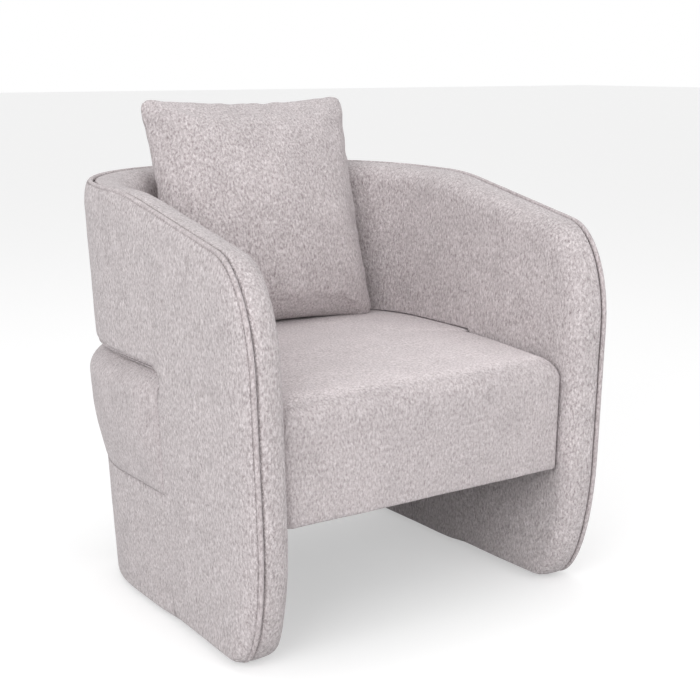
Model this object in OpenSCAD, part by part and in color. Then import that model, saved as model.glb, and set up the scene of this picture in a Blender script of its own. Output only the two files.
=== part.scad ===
/* [Shell] */
// Height of the back at the top of its piping
chair_height = 747; // [720:1:775]
// Width of the shell at the floor
foot_width = 720; // [695:1:750]
// Depth of the shell at the floor
foot_depth = 727; // [700:1:755]
// How much wider the shell is at the top than at the floor
top_spread = 55; // [40:1:65]
// How far the top of the back leans behind its foot
back_rake = 47; // [35:1:60]
// Thickness of the padded wall
wall_thickness = 74; // [70:1:80]
// Straight length of each side, from the front
side_length = 428; // [412:1:445]
// How far the shell's underside clears the floor
floor_clearance = 7; // [6:1:12]

/* [Arm outline] */
// Height at which the arm's front edge starts to curve
arm_corner_base = 491; // [476:1:506]
// How far the arm's front corner reaches back
arm_corner_run = 103; // [95:1:110]
// How far the arm's front corner rises
arm_corner_rise = 190; // [182:1:196]
// How far the lower front corner reaches back
foot_corner_run = 89; // [78:1:100]
// How far the lower front corner rises
foot_corner_rise = 256; // [230:1:280]
// How far the outer face bulges past the shell near the lower front corner
foot_swell = 14; // [8:1:18]

/* [Windows] */
// Distance from the front to the window's front edge
window_front = 293; // [280:1:305]
// Height of the upper band's lower edge
band_bottom = 455; // [450:1:464]

/* [Edges] */
// Depth over which the outer cover swells out behind the piping
swell_depth = 14; // [12:1:17]
// Distance over which the outer cover swells out
swell_run = 50; // [44:1:58]
// Radius of the soft inner edge of arms and back
inner_edge_radius = 33; // [30:1:37]
// Radius of the piping
piping_radius = 4.5; // [3.8:0.1:5.2]
// Thickness of the upholstery fabric with its fleece
cover_thickness = 2.4; // [1.8:0.1:3]

/* [Seat] */
// Height of the underside of the seat
seat_bottom = 233; // [227:1:240]
// Height of the seat's edge where its top starts to crown
seat_top = 442; // [436:1:446]
// How much the middle of the seat rises above its edge
seat_crown = 14; // [8:1:18]
// How far the seat's front stands behind the arms' front
seat_setback = 32; // [26:1:40]
// Radius of the seat's rounded top edge
seat_edge_radius = 44; // [38:1:50]
// How far the drum swells past the shell in the windows
drum_swell = 16; // [10:1:20]

/* [Frame] */
// Thickness of the plywood
ply_thickness = 18; // [15:1:20]
// Depth of the frame's pocket behind the outer face
pocket_depth = 15; // [13:1:17]
// Thickness of the bent boards of the back
board_thickness = 3; // [2:0.5:4]
// Height of the seat box rails
rail_height = 96; // [80:1:104]
// Thickness of the seat box rails
rail_thickness = 24; // [20:1:28]
// Thickness of the foam round the seat box
box_padding = 20; // [16:1:24]
// Thickness of the lining on the legs' inner faces
leg_lining = 12; // [9:1:16]

/* [Springs] */
// Number of seat springs
spring_count = 5; // [4:1:6]
// Diameter of the spring wire
spring_wire = 4; // [3:0.2:5]
// Width of a spring's zigzag
spring_width = 52; // [44:1:60]
// Number of bends in a spring
spring_bend_count = 10; // [8:2:14]

/* [Bolts] */
// Radius of the seat bolts' shanks
bolt_radius = 4; // [3:0.5:5]
// Radius of the seat bolts' heads
bolt_head_radius = 9; // [7:0.5:10]

/* [Glides] */
// Radius of a glide
glide_radius = 14; // [11:1:16]
// Radius of the glide's screw
glide_screw_radius = 2; // [1.5:0.5:2.5]
// Length of the glide's screw
glide_screw_length = 24; // [22:1:25]

/* [Cushion] */
// Side of the loose cushion
cushion_side = 456; // [440:1:468]
// Thickness of the cushion at its middle
cushion_depth = 150; // [130:1:165]
// How far the cushion's middle stands right of the chair's middle
cushion_shift = 12; // [0:1:24]
// How far the cushion leans back, in degrees
cushion_lean = 15; // [13:0.5:17]
// How far the cushion can be lifted
cushion_lift = 320; // [300:10:400]

/* [Hidden] */
plan_curve_share = 0.798;
arm_slope_share = 0.219;
foot_curve_share = 0.91;
corner_limit_share = 0.95;
band_edge_share = 0.3;
seam_angle = 65;
foam_seam_share = 0.6;
arc_step_count = 6;
slope_step_count = 3;
straight_step_count = 2;
back_step_count = 10;
swell_step_count = 3;
soft_step_count = 3;
tube_side_count = 8;
skin_gap = 0.3;
overrun = 5;

half_width = foot_width / 2;
front_y = -(foot_depth + back_rake * (1 - swell_run / chair_height)) / 2;
rear_reach = foot_depth - side_length;
inner_depth = half_width - wall_thickness;
arm_turn = atan(arm_corner_rise / (arm_corner_run * arm_slope_share));
arm_top_run = arm_corner_run * (1 - cos(arm_turn));
arm_top_rise = arm_corner_base + arm_corner_rise * sin(arm_turn);
blend_start = 2 * ((chair_height - arm_top_rise) / arm_slope_share + arm_top_run) - side_length;
border_depth = swell_depth + 2 * piping_radius - skin_gap;
border_drop = piping_radius / 2;
piping_depth = swell_depth - skin_gap * 3;
piping_drop = piping_radius;
window_margin = swell_run * band_edge_share + overrun;

function wide(z) = 1 + top_spread / foot_width * z / chair_height;
function deep(z) = 1 + back_rake / foot_depth * z / chair_height;
function place(side, x, u, z) = [side * x * wide(z), front_y + u * deep(z), z];
function curve_x(turn, depth) = (half_width - depth) * pow(cos(turn), plan_curve_share);
function curve_u(turn, depth) = side_length + (rear_reach - depth) * pow(sin(turn), plan_curve_share);
function flatten(lists) = [for (l = lists) each l];
function turned(list) = [for (i = [len(list) - 1 : -1 : 0]) list[i]];
function unit(v) = v / norm(v);

// A spot of the plan is [side, distance from the front, turn round the back].
function spot(s, depth, z) = s[2] > 0 ? place(s[0], curve_x(s[2], depth), curve_u(s[2], depth), z)
    : place(s[0], half_width - depth, s[1], z);

// Height of the upper edge of arm and back at a distance from the front
function edge_height(u) = u >= side_length ? chair_height
    : u > blend_start
        ? chair_height - arm_slope_share * pow(side_length - u, 2) / (2 * (side_length - blend_start))
        : arm_top_rise + (u - arm_top_run) * arm_slope_share;

// Edge points are [distance from the front, height, inward run, inward rise].
function arm_corner_point(a) =
    let (reach = norm([cos(a) * arm_corner_rise, sin(a) * arm_corner_run]))
    [arm_corner_run * (1 - cos(a)), arm_corner_base + arm_corner_rise * sin(a),
        cos(a) * arm_corner_rise / reach, -sin(a) * arm_corner_run / reach];
function foot_corner_point(a) =
    let (reach = norm([cos(a) * foot_corner_rise, sin(a) * foot_corner_run]),
        run = foot_corner_run * (1 - pow(cos(a), foot_curve_share)),
        most = corner_limit_share * (foot_corner_run - run) / swell_run)
    [run, floor_clearance + foot_corner_rise * (1 - pow(sin(a), foot_curve_share)),
        min(cos(a) * foot_corner_rise / reach, most), sin(a) * foot_corner_run / reach];
arm_upper_edge = concat(
    [for (i = [0 : arc_step_count]) arm_corner_point(arm_turn * i / arc_step_count)],
    [for (i = [1 : slope_step_count])
        let (u = arm_top_run + (window_front - window_margin - arm_top_run) * i / slope_step_count)
        [u, edge_height(u), 0, -1]]);
arm_lower_edge = concat(
    [for (i = [0 : arc_step_count]) foot_corner_point(90 * i / arc_step_count)],
    [for (i = [1 : slope_step_count - 1])
        [foot_corner_run + (window_front - foot_corner_run) * i / (slope_step_count - 1),
            floor_clearance, i == slope_step_count - 1 ? -band_edge_share : 0, 1]],
    [[window_front, band_bottom, -band_edge_share, band_edge_share]]);
half_band = concat(
    [for (i = [1 : straight_step_count])
        [1, window_front + (side_length - window_front) * i / straight_step_count, 0]],
    [for (i = [1 : back_step_count]) [1, side_length, 90 * i / back_step_count]]);
function other_side(spots) = [for (i = [len(spots) - 2 : -1 : 0]) [-spots[i][0], spots[i][1], spots[i][2]]];
band_spots = concat(half_band, other_side(half_band));
function spot_height(s) = s[2] > 0 ? chair_height : edge_height(s[1]);

// A level is [depth behind the outer face, inset from the edge, share of the foot's bulge].
function foot_bulge(p, level) = len(level) < 3 ? 0
    : foot_swell * level[2] * pow(max(0, 1 - p[1] / arm_corner_base), 2) * max(0, 1 - p[0] / window_front);
function edge_spot(side, p, level) = place(side, half_width - level[0] + foot_bulge(p, level),
    p[0] + p[2] * level[1], p[1] + p[3] * level[1]);
function shell_loop(level) = concat(
    [for (p = arm_upper_edge) edge_spot(1, p, level)],
    [for (s = band_spots) spot(s, level[0], spot_height(s) - level[1])],
    [for (p = turned(arm_upper_edge)) edge_spot(-1, p, level)],
    [for (p = arm_lower_edge) edge_spot(-1, p, level)],
    [for (s = turned(band_spots)) spot(s, level[0], band_bottom + level[1] * band_edge_share)],
    [for (p = turned(arm_lower_edge)) edge_spot(1, p, level)]);

function wall_faces(count, n) = [for (k = [0 : count - 2]) for (i = [0 : n - 1])
    each [[k * n + i, (k + 1) * n + i, (k + 1) * n + (i + 1) % n],
        [k * n + i, (k + 1) * n + (i + 1) % n, k * n + (i + 1) % n]]];

// Solid through a stack of closed loops whose first and second halves face each other
function ladder_end(n, crossed) = [for (i = [0 : n / 2 - 2]) each crossed
    ? [[i, i + 1, n - 1 - i], [i + 1, n - 2 - i, n - 1 - i]]
    : [[i, i + 1, n - 2 - i], [i, n - 2 - i, n - 1 - i]]];
module ladder_solid(loops, crossed = false) {
    n = len(loops[0]);
    top = (len(loops) - 1) * n;
    polyhedron(points = flatten(loops), faces = concat(wall_faces(len(loops), n), ladder_end(n, crossed),
        [for (f = ladder_end(n, crossed)) [top + f[2], top + f[1], top + f[0]]]));
}

// Solid through a stack of closed loops, closed at both ends by a fan round a middle point
module fan_solid(loops, first_middle, last_middle) {
    n = len(loops[0]);
    top = (len(loops) - 1) * n;
    first = len(loops) * n;
    polyhedron(points = concat(flatten(loops), [first_middle, last_middle]),
        faces = concat(wall_faces(len(loops), n),
            [for (i = [0 : n - 1]) [i, (i + 1) % n, first]],
            [for (i = [0 : n - 1]) [top + (i + 1) % n, top + i, first + 1]]));
}

// Levels of the wall's cross-section, each shrunk by a margin
function swell_levels(m) = [for (i = [0 : swell_step_count]) let (a = seam_angle * i / swell_step_count)
    [swell_depth - (swell_depth - m) * cos(a), swell_run - (swell_run - m) * sin(a),
        (cos(a) - cos(seam_angle)) / (1 - cos(seam_angle))]];
function soft_levels(m) = [for (i = [0 : soft_step_count]) let (a = 90 * i / soft_step_count)
    [wall_thickness - inner_edge_radius + (inner_edge_radius - m) * sin(a),
        border_drop + inner_edge_radius - (inner_edge_radius - m) * cos(a)]];
outer_levels = concat(swell_levels(0), turned(swell_levels(cover_thickness)));
inner_levels = concat(turned(soft_levels(cover_thickness)), [[border_depth, border_drop + cover_thickness],
    [border_depth, border_drop]], soft_levels(0));
foam_margin = cover_thickness + skin_gap;
groove_drop = piping_drop + piping_radius + skin_gap * 2;
foam_swell = swell_levels(foam_margin);
foam_last = foam_swell[swell_step_count - 1];
foam_seam = swell_levels(foam_margin + skin_gap * 4)[swell_step_count];
foam_levels = concat([for (i = [0 : swell_step_count - 1]) foam_swell[i]],
    [foam_last + (foam_seam - foam_last) * foam_seam_share, [piping_depth, groove_drop],
    [border_depth + skin_gap, groove_drop], [border_depth + skin_gap, border_drop + foam_margin]],
    soft_levels(foam_margin));

module outer_cover() {
    color("#b3aaa9") ladder_solid([for (l = outer_levels) shell_loop(l)]);
}

module inner_cover() {
    color("#aea5a4") difference() {
        ladder_solid([for (l = inner_levels) shell_loop(l)]);
        seat_bolt_holes();
        front_screw_holes();
    }
}

// The piping follows the outer edge from one underside to the other.
piping_level = [piping_depth, piping_drop];
half_piping = concat(
    [edge_spot(1, [window_front - window_margin, floor_clearance, 0, 1], piping_level)],
    [for (i = [arc_step_count : -1 : 0]) edge_spot(1, arm_lower_edge[i], piping_level)],
    [for (p = arm_upper_edge) edge_spot(1, p, piping_level)],
    [for (s = half_band) spot(s, piping_depth, spot_height(s) - piping_drop)]);
piping_path = concat(half_piping, [for (i = [len(half_piping) - 2 : -1 : 0])
    [-half_piping[i][0], half_piping[i][1], half_piping[i][2]]]);
function tube_loop(path, i, radius) =
    let (last = len(path) - 1, ahead = unit(path[min(i + 1, last)] - path[max(i - 1, 0)]),
        level = [path[i][0] * abs(path[i][0]), path[i][1] * half_width, 0],
        across = unit(level - ahead * (level * ahead)), up = cross(ahead, across))
    [for (k = [0 : tube_side_count - 1]) path[i]
        + radius * (across * cos(360 * k / tube_side_count) + up * sin(360 * k / tube_side_count))];
module piping() {
    last = len(piping_path) - 1;
    color("#a79e9d") fan_solid([for (i = [0 : last]) tube_loop(piping_path, i, piping_radius)],
        piping_path[0], piping_path[last]);
}

// The frame's outline in side view, inset from the padding's outline
frame_inset = 24;
frame_low = floor_clearance + groove_drop + skin_gap;
band_low = band_bottom + frame_inset * band_edge_share;
frame_rear = window_front - frame_inset * band_edge_share;
function side_point(u, z) = [front_y + u * deep(z), z];
frame_outline = concat(
    [for (p = arm_upper_edge) side_point(p[0] + p[2] * frame_inset, p[1] + p[3] * frame_inset)],
    [side_point(side_length, chair_height - frame_inset), side_point(side_length, band_low),
        side_point(frame_rear, band_low), side_point(frame_rear, frame_low)],
    [for (i = [arc_step_count : -1 : 0]) let (p = arm_lower_edge[i])
        side_point(p[0] + p[2] * frame_inset, max(frame_low, p[1] + p[3] * frame_inset))]);
panel_middle = half_width - pocket_depth - ply_thickness / 2;
panel_tilt = atan(panel_middle * top_spread / foot_width / chair_height);
module side_panel(margin) {
    translate([panel_middle, 0, 0]) rotate([0, panel_tilt, 0]) rotate([90, 0, 90])
        linear_extrude(height = ply_thickness + 2 * margin, center = true)
            offset(delta = margin) polygon(frame_outline);
}
module side_frame(side) {
    color("#c9a878") mirror([side > 0 ? 0 : 1, 0, 0]) difference() {
        side_panel(0);
        seat_bolt_holes();
        nut_holes();
        front_screw_holes();
    }
}

// The back's ribs and boards lie in one pocket between the two side frames.
rib_depth = 30;
back_spots = concat([[1, side_length, 0]],
    [for (i = [1 : back_step_count]) [1, side_length, 90 * i / back_step_count]]);
back_whole = concat(back_spots, other_side(back_spots));
rib_spots = concat([[1, side_length + skin_gap, 0]], [for (i = [1 : back_step_count]) back_spots[i]]);
rib_whole = concat(rib_spots, other_side(rib_spots));
rib_front = pocket_depth + rib_depth;
top_rib_low = chair_height - frame_inset - ply_thickness;
function back_loop(spots, depth, low, high) = concat([for (s = spots) spot(s, depth, high)],
    [for (s = turned(spots)) spot(s, depth, low)]);
module rib(low) {
    color("#c9a878") ladder_solid([for (z = [low, low + ply_thickness]) concat(
        [for (s = rib_whole) spot(s, pocket_depth, z)],
        [for (s = turned(rib_whole)) spot(s, rib_front, z)])]);
}
module back_pocket() {
    gap = board_thickness + skin_gap;
    ladder_solid([for (depth = [pocket_depth - gap, rib_front + gap])
        back_loop(back_whole, depth, band_low - skin_gap, chair_height - frame_inset + skin_gap)]);
}
post_count = 5;
post_turns = [for (i = [0 : post_count - 1]) 180 * (i + 0.5) / post_count];
post_turn_width = 6;
post_gap = 1;
module back_post(turn) {
    module_spots = [for (t = [turn - post_turn_width / 2, turn + post_turn_width / 2])
        t > 90 ? [-1, side_length, 180 - t] : [1, side_length, t]];
    ladder_solid([for (z = [band_low + ply_thickness, top_rib_low]) concat(
        [for (s = module_spots) spot(s, pocket_depth + post_gap, z)],
        [for (s = turned(module_spots)) spot(s, rib_front - skin_gap, z)])]);
}
module back_posts() {
    color("#c9a878") for (turn = post_turns) back_post(turn);
}
module back_board(depth) {
    color("#9a7650") ladder_solid([for (d = [depth, depth + board_thickness - skin_gap])
        back_loop(rib_whole, d, band_low, chair_height - frame_inset)]);
}

// The foam is one wrap, cut at the windows' front edges into two arms and a back.
// Mirrored, its faces fold the same way as the covers' inner faces.
module shell_foam() {
    mirror([1, 0, 0]) ladder_solid([for (l = foam_levels) shell_loop(l)], crossed = true);
}
module front_region(side) {
    wall = [for (z = [-overrun, chair_height + overrun]) for (u = [-overrun, window_front])
        [front_y + u * deep(z), z]];
    rotate([90, 0, 90]) translate([0, 0, side > 0 ? 0 : -foot_width])
        linear_extrude(height = foot_width) polygon([wall[0], wall[1], wall[3], wall[2]]);
}
module arm_foam(side) {
    color("#e9dfc2") difference() {
        intersection() {
            shell_foam();
            front_region(side);
        }
        mirror([side > 0 ? 0 : 1, 0, 0]) {
            side_panel(skin_gap);
            seat_bolt_holes();
            front_screw_holes();
        }
    }
}
module back_foam() {
    color("#e9dfc2") difference() {
        shell_foam();
        front_region(1);
        front_region(-1);
        back_pocket();
        for (side = [0, 1]) mirror([side, 0, 0]) side_panel(skin_gap);
    }
}

// A covered roll closes the gap between the seat and the back.
roll_spots = concat([[1, window_front + foam_margin, 0], [1, side_length, 0]],
    [for (i = [1 : back_step_count]) [1, side_length, 90 * i / back_step_count]]);
roll_whole = concat(roll_spots, other_side(roll_spots));
roll_low = seat_top + skin_gap * 4;
roll_levels = concat([[wall_thickness / 2 - overrun, border_drop]], soft_levels(0));
module back_gap_roll() {
    color("#8f8685") ladder_solid([for (l = roll_levels) concat(
        [for (s = roll_whole) spot(s, l[0], band_bottom + l[1] * band_edge_share - skin_gap)],
        [for (s = turned(roll_whole)) spot(s, l[0], roll_low + seat_crown * l[0] / half_width * 2)])]);
}

// Legs: a curved outer face, a straight inner face and a narrow rear edge
leg_tip = 12;
leg_step_count = 5;
leg_front = window_front + skin_gap;
leg_roof = seat_bottom - skin_gap;
function leg_end(d) = acos(pow((inner_depth + d + leg_tip) / (half_width - d), 1 / plan_curve_share));
function leg_outer(d) = concat([[half_width - d, leg_front + d], [half_width - d, side_length]],
    [for (i = [1 : leg_step_count]) let (t = leg_end(d) * i / leg_step_count)
        [curve_x(t, d), curve_u(t, d)]]);
function leg_loop(d, z) = concat([for (p = leg_outer(d)) place(1, p[0], p[1], z)],
    [for (p = turned(leg_outer(d))) place(1, inner_depth + d, p[1], z)]);
leg_edge = 9;
function leg_wall(m) = [leg_loop(leg_edge, floor_clearance + m),
    leg_loop(leg_edge / 3 + m / 2, floor_clearance + leg_edge / 3 + m / 2),
    leg_loop(m, floor_clearance + leg_edge), leg_loop(m, leg_roof)];
leg_plate_gap = 1;
leg_box_inset = foam_margin + leg_lining + leg_plate_gap;
leg_floor = floor_clearance + foam_margin;
module leg_cover(side) {
    color("#b3aaa9") difference() {
        mirror([side > 0 ? 0 : 1, 0, 0])
            ladder_solid(concat(leg_wall(0), turned(leg_wall(cover_thickness))));
        mirror([side > 0 ? 0 : 1, 0, 0]) rear_screw_holes();
    }
}
module leg_foam(side) {
    inner = foam_margin + leg_lining;
    color("#e9dfc2") mirror([side > 0 ? 0 : 1, 0, 0]) difference() {
        ladder_solid(leg_wall(foam_margin));
        ladder_solid([for (z = [leg_floor - overrun, leg_roof + overrun]) leg_loop(inner, z)]);
    }
}
module leg_plate(z) {
    translate([0, 0, z]) linear_extrude(height = ply_thickness)
        polygon([for (p = leg_loop(leg_box_inset, z)) [p[0], p[1]]]);
}
leg_top_low = leg_roof - ply_thickness;
module leg_base(side) {
    color("#c9a878") mirror([side > 0 ? 0 : 1, 0, 0]) difference() {
        leg_plate(leg_floor);
        rear_screw_holes();
    }
}
module leg_top(side) {
    color("#c9a878") mirror([side > 0 ? 0 : 1, 0, 0]) difference() {
        leg_plate(leg_top_low);
        leg_bolt_holes();
    }
}

// An upright board fills the leg's inner side as far as the bolt heads.
module leg_panel(side) {
    low = place(1, inner_depth + leg_box_inset, leg_front + leg_box_inset, leg_top_low);
    depth = leg_bolt_place(leg_bolt_spots[0])[0] - bolt_head_radius - leg_plate_gap - low[0];
    turn = acos(pow((low[0] + depth) / (half_width - leg_box_inset), 1 / plan_curve_share));
    rear = place(1, 0, curve_u(turn, leg_box_inset), leg_floor);
    color("#c9a878") mirror([side > 0 ? 0 : 1, 0, 0])
        translate([low[0], low[1], leg_floor + ply_thickness])
            cube([depth, rear[1] - low[1], leg_top_low - leg_floor - ply_thickness]);
}

// Seat plan: narrow between the arms' front parts, then as wide as the shell
seat_side_gap = 1;
seat_corner_radius = 14;
seat_inner = inner_depth - seat_side_gap;
seat_jog = window_front + seat_side_gap;
seat_middle_u = (seat_setback + foot_depth) / 2;
corner_shares = [1, 0.3, 0];
swell_shares = [0, 0.7];
swell_start_share = 0.25;
function seat_right(d, swell) = concat(
    [for (s = corner_shares) [seat_inner - d - seat_corner_radius * s,
        seat_setback + d + seat_corner_radius * (1 - s) * (1 - s)]],
    [[seat_inner - d, seat_jog + d]],
    [for (i = [0 : 1]) [half_width - d - skin_gap + swell * swell_shares[i],
        seat_jog + d + (side_length - seat_jog) * swell_start_share * i]],
    [for (i = [1 : straight_step_count]) [half_width - d + swell,
        seat_jog + d + (side_length - seat_jog - d) * i / straight_step_count]],
    [for (i = [1 : back_step_count]) let (t = 90 * i / back_step_count)
        [curve_x(t, d - swell), curve_u(t, d - swell)]]);
function seat_plan(d, swell) = let (half = seat_right(d, swell))
    concat(half, [for (i = [len(half) - 2 : -1 : 0]) [-half[i][0], half[i][1]]]);
function seat_loop(d, swell, z) = [for (p = seat_plan(d, swell)) place(1, p[0], p[1], z)];
function crown_loop(m, share) = [for (p = seat_plan(seat_edge_radius, drum_swell))
    place(1, p[0] * share, seat_middle_u + (p[1] - seat_middle_u) * share,
        seat_top + seat_crown * (1 - share * share) - m)];
seat_edge_base = seat_top - seat_edge_radius;
seat_level_shares = [[0, 0], [1 / 3, 0.6], [2 / 3, 1]];
seat_edge_step_count = 3;
crown_shares = [0.75, 0.4];
function seat_wall(m) = concat(
    [for (l = seat_level_shares)
        seat_loop(m, drum_swell * l[1], seat_bottom + (seat_edge_base - seat_bottom) * l[0])],
    [for (i = [0 : seat_edge_step_count]) let (a = 90 * i / seat_edge_step_count)
        seat_loop(m + (seat_edge_radius - m) * (1 - cos(a)), drum_swell,
            seat_edge_base + (seat_edge_radius - m) * sin(a))]);
function seat_surface(m) = concat(seat_wall(m), [for (s = crown_shares) crown_loop(m, s)]);
function seat_pole(m) = place(1, 0, seat_middle_u, seat_top + seat_crown - m);
module seat_cover() {
    color("#b6adac") difference() {
        fan_solid(concat(turned(seat_surface(cover_thickness)), seat_surface(0)),
            seat_pole(cover_thickness), seat_pole(0));
        seat_bolt_holes();
    }
}

// Seat box: rails, blocks and springs inside the drum
cloth_thickness = 1;
rail_base = seat_bottom + cloth_thickness;
rail_top = rail_base + rail_height;
spring_top = rail_top + spring_wire;
clip_plate = 1.5;
felt_base = spring_top + clip_plate;
felt_thickness = 4;
foam_base = felt_base + felt_thickness;
box_inset = cover_thickness + box_padding;
function plan_at(x, u) = let (p = place(1, x, u, seat_bottom)) [p[0], p[1]];
box_front = plan_at(seat_inner - box_inset, seat_setback + box_inset);
box_jog = plan_at(half_width - box_inset, seat_jog + box_inset);
module seat_front_rail() {
    color("#c8ab80") translate([-box_front[0], box_front[1], rail_base])
        cube([2 * box_front[0], rail_thickness, rail_height]);
}
module seat_side_rails() {
    color("#c8ab80") for (side = [0, 1]) mirror([side, 0, 0]) difference() {
        translate([box_front[0] - rail_thickness, box_front[1] + rail_thickness, rail_base])
            cube([rail_thickness, box_jog[1] - box_front[1] - rail_thickness, rail_height]);
        seat_bolt_holes();
    }
}
cross_rail_height = rail_height - rail_thickness;
module seat_cross_rail() {
    color("#c8ab80") translate([-box_jog[0], box_jog[1], rail_base])
        cube([2 * box_jog[0], rail_thickness, cross_rail_height]);
}
rail_spots = concat([[1, seat_jog + box_inset + rail_thickness, 0]], back_spots);
rail_whole = concat(rail_spots, other_side(rail_spots));
function flat_spot(s, depth) = let (p = spot(s, depth, seat_bottom)) [p[0], p[1]];
module seat_back_rail() {
    color("#c8ab80") difference() {
        translate([0, 0, rail_base]) linear_extrude(height = rail_height) polygon(concat(
            [for (s = rail_whole) flat_spot(s, box_inset)],
            [for (s = turned(rail_whole)) flat_spot(s, box_inset + rail_thickness)]));
        for (side = [0, 1]) mirror([side, 0, 0]) leg_bolt_holes();
    }
}
block_side = 55;
block_side_x = plan_at(half_width - box_inset - rail_thickness, 0)[0] - skin_gap;
module corner_block(corner, turn) {
    translate([corner[0], corner[1], rail_base]) rotate([0, 0, turn])
        linear_extrude(height = cross_rail_height) polygon([[0, 0], [block_side, 0], [0, block_side]]);
}
module seat_corner_blocks() {
    color("#b8935f") for (side = [0, 1]) mirror([side, 0, 0]) {
        corner_block([box_front[0] - rail_thickness, box_front[1] + rail_thickness], 90);
        corner_block([block_side_x, box_jog[1] + rail_thickness], 90);
    }
}
spring_span = 2 * (box_front[0] - rail_thickness);
spring_pitch = spring_span / spring_count;
spring_hold_share = 1 / 3;
spring_front_y = box_front[1] + rail_thickness * spring_hold_share;
function rail_back_y(x) = let (depth = box_inset + rail_thickness * (1 - spring_hold_share),
    turn = acos(pow(abs(x) / ((half_width - depth) * wide(seat_bottom)), 1 / plan_curve_share)))
    place(1, 0, curve_u(turn, depth), seat_bottom)[1];
function spring_x(i) = (i - (spring_count - 1) / 2) * spring_pitch;
bend_step_count = 4;
spring_tail = 12;
function zigzag(x, y0, y1) =
    let (steps = spring_bend_count * bend_step_count, y2 = y0 + spring_tail, y3 = y1 - spring_tail)
    concat([[x, y0]], [for (i = [0 : steps])
        [x + spring_width / 2 * sin(180 * i / bend_step_count), y2 + (y3 - y2) * i / steps]], [[x, y1]]);
module flat_wire(path) {
    last = len(path) - 1;
    normals = [for (i = [0 : last]) let (d = unit(path[min(i + 1, last)] - path[max(i - 1, 0)]))
        [-d[1], d[0]]];
    linear_extrude(height = spring_wire) polygon(concat(
        [for (i = [0 : last]) path[i] + normals[i] * spring_wire / 2],
        [for (i = [last : -1 : 0]) path[i] - normals[i] * spring_wire / 2]));
}
module seat_springs() {
    color("#8f9296") translate([0, 0, rail_top]) for (i = [0 : spring_count - 1])
        flat_wire(zigzag(spring_x(i), spring_front_y, rail_back_y(spring_x(i))));
}
clip_width = 16;
clip_length = 10;
module spring_clip(x, y) {
    translate([x - clip_width / 2, y - clip_length / 2, rail_top]) difference() {
        cube([clip_width, clip_length, spring_wire + clip_plate]);
        translate([(clip_width - spring_wire) / 2 - skin_gap / 2, -overrun, -overrun])
            cube([spring_wire + skin_gap, clip_length + 2 * overrun, spring_wire + overrun]);
    }
}
module spring_clips() {
    color("#6f7276") for (i = [0 : spring_count - 1]) {
        spring_clip(spring_x(i), spring_front_y + clip_length / 2);
        spring_clip(spring_x(i), rail_back_y(spring_x(i)) - clip_length / 2);
    }
}
module seat_sheet(d, z, thickness) {
    translate([0, 0, z]) linear_extrude(height = thickness)
        polygon([for (p = seat_plan(d, 0)) plan_at(p[0], p[1])]);
}
module spring_felt() {
    color("#77787a") seat_sheet(box_inset, felt_base, felt_thickness);
}
module drum_form() {
    mirror([1, 0, 0]) fan_solid(seat_surface(foam_margin), place(1, 0, seat_middle_u, seat_bottom),
        seat_pole(foam_margin));
}
module slab(low, high) {
    translate([-foot_width, -foot_depth, low]) cube([2 * foot_width, 2 * foot_depth, high - low]);
}
module seat_foam() {
    color("#eadfb8") difference() {
        drum_form();
        slab(seat_bottom - overrun, foam_base);
    }
}
box_sides = [[box_front[0], box_front[1]], [box_front[0], box_jog[1]], [box_jog[0], box_jog[1]]];
module box_foam() {
    color("#e3d9b6") difference() {
        drum_form();
        slab(seat_bottom - overrun, rail_base);
        slab(foam_base - skin_gap, chair_height);
        translate([0, 0, seat_bottom]) linear_extrude(height = foam_base) offset(delta = skin_gap)
            polygon(concat(box_sides, [for (s = rail_whole) flat_spot(s, box_inset)],
                [for (p = turned(box_sides)) [-p[0], p[1]]]));
        seat_bolt_holes();
    }
}
module seat_dust_cloth() {
    color("#3c3b3d") difference() {
        seat_sheet(foam_margin, seat_bottom, cloth_thickness);
        for (side = [0, 1]) mirror([side, 0, 0]) leg_bolt_holes();
    }
}

// Bolts through the seat's side rails into the side frames, with nuts in the frames
bolt_shares = [0.5, 0.82];
bolt_height = rail_base + rail_height / 2;
bolt_head_height = 5;
nut_length = 13;
nut_wall = 1.6;
nut_flange = 2;
bolt_start = box_front[0] - rail_thickness;
bolt_end = (panel_middle + ply_thickness / 2) * wide(bolt_height);
function bolt_y(share) = front_y + window_front * share * deep(bolt_height);
module along_x(x, y, z, radius, length) {
    translate([x, y, z]) rotate([0, 90, 0]) cylinder(h = length, r = radius);
}
module seat_bolt_holes() {
    for (side = [0, 1]) mirror([side, 0, 0]) for (s = bolt_shares)
        along_x(bolt_start - overrun, bolt_y(s), bolt_height, bolt_radius + skin_gap, bolt_end - bolt_start);
}
module nut_holes() {
    for (s = bolt_shares) {
        along_x(bolt_end - nut_length - skin_gap, bolt_y(s), bolt_height, bolt_radius + nut_wall + skin_gap,
            nut_length + overrun);
        along_x(bolt_end - nut_flange - skin_gap, bolt_y(s), bolt_height, bolt_head_radius + skin_gap,
            nut_flange + overrun);
    }
}
module seat_bolts() {
    color("#55585c") for (side = [0, 1]) mirror([side, 0, 0]) for (s = bolt_shares) {
        along_x(bolt_start - bolt_head_height, bolt_y(s), bolt_height, bolt_head_radius, bolt_head_height);
        along_x(bolt_start - bolt_head_height / 2, bolt_y(s), bolt_height, bolt_radius,
            bolt_end - bolt_start + bolt_head_height / 2 - nut_flange);
    }
}
module seat_bolt_nuts() {
    color("#9a9c9f") for (side = [0, 1]) mirror([side, 0, 0]) for (s = bolt_shares) difference() {
        union() {
            along_x(bolt_end - nut_length, bolt_y(s), bolt_height, bolt_radius + nut_wall,
                nut_length - nut_flange / 2);
            along_x(bolt_end - nut_flange, bolt_y(s), bolt_height, bolt_head_radius, nut_flange - skin_gap);
        }
        along_x(bolt_end - nut_length - overrun, bolt_y(s), bolt_height, bolt_radius + skin_gap / 5,
            nut_length + 2 * overrun);
    }
}

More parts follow.
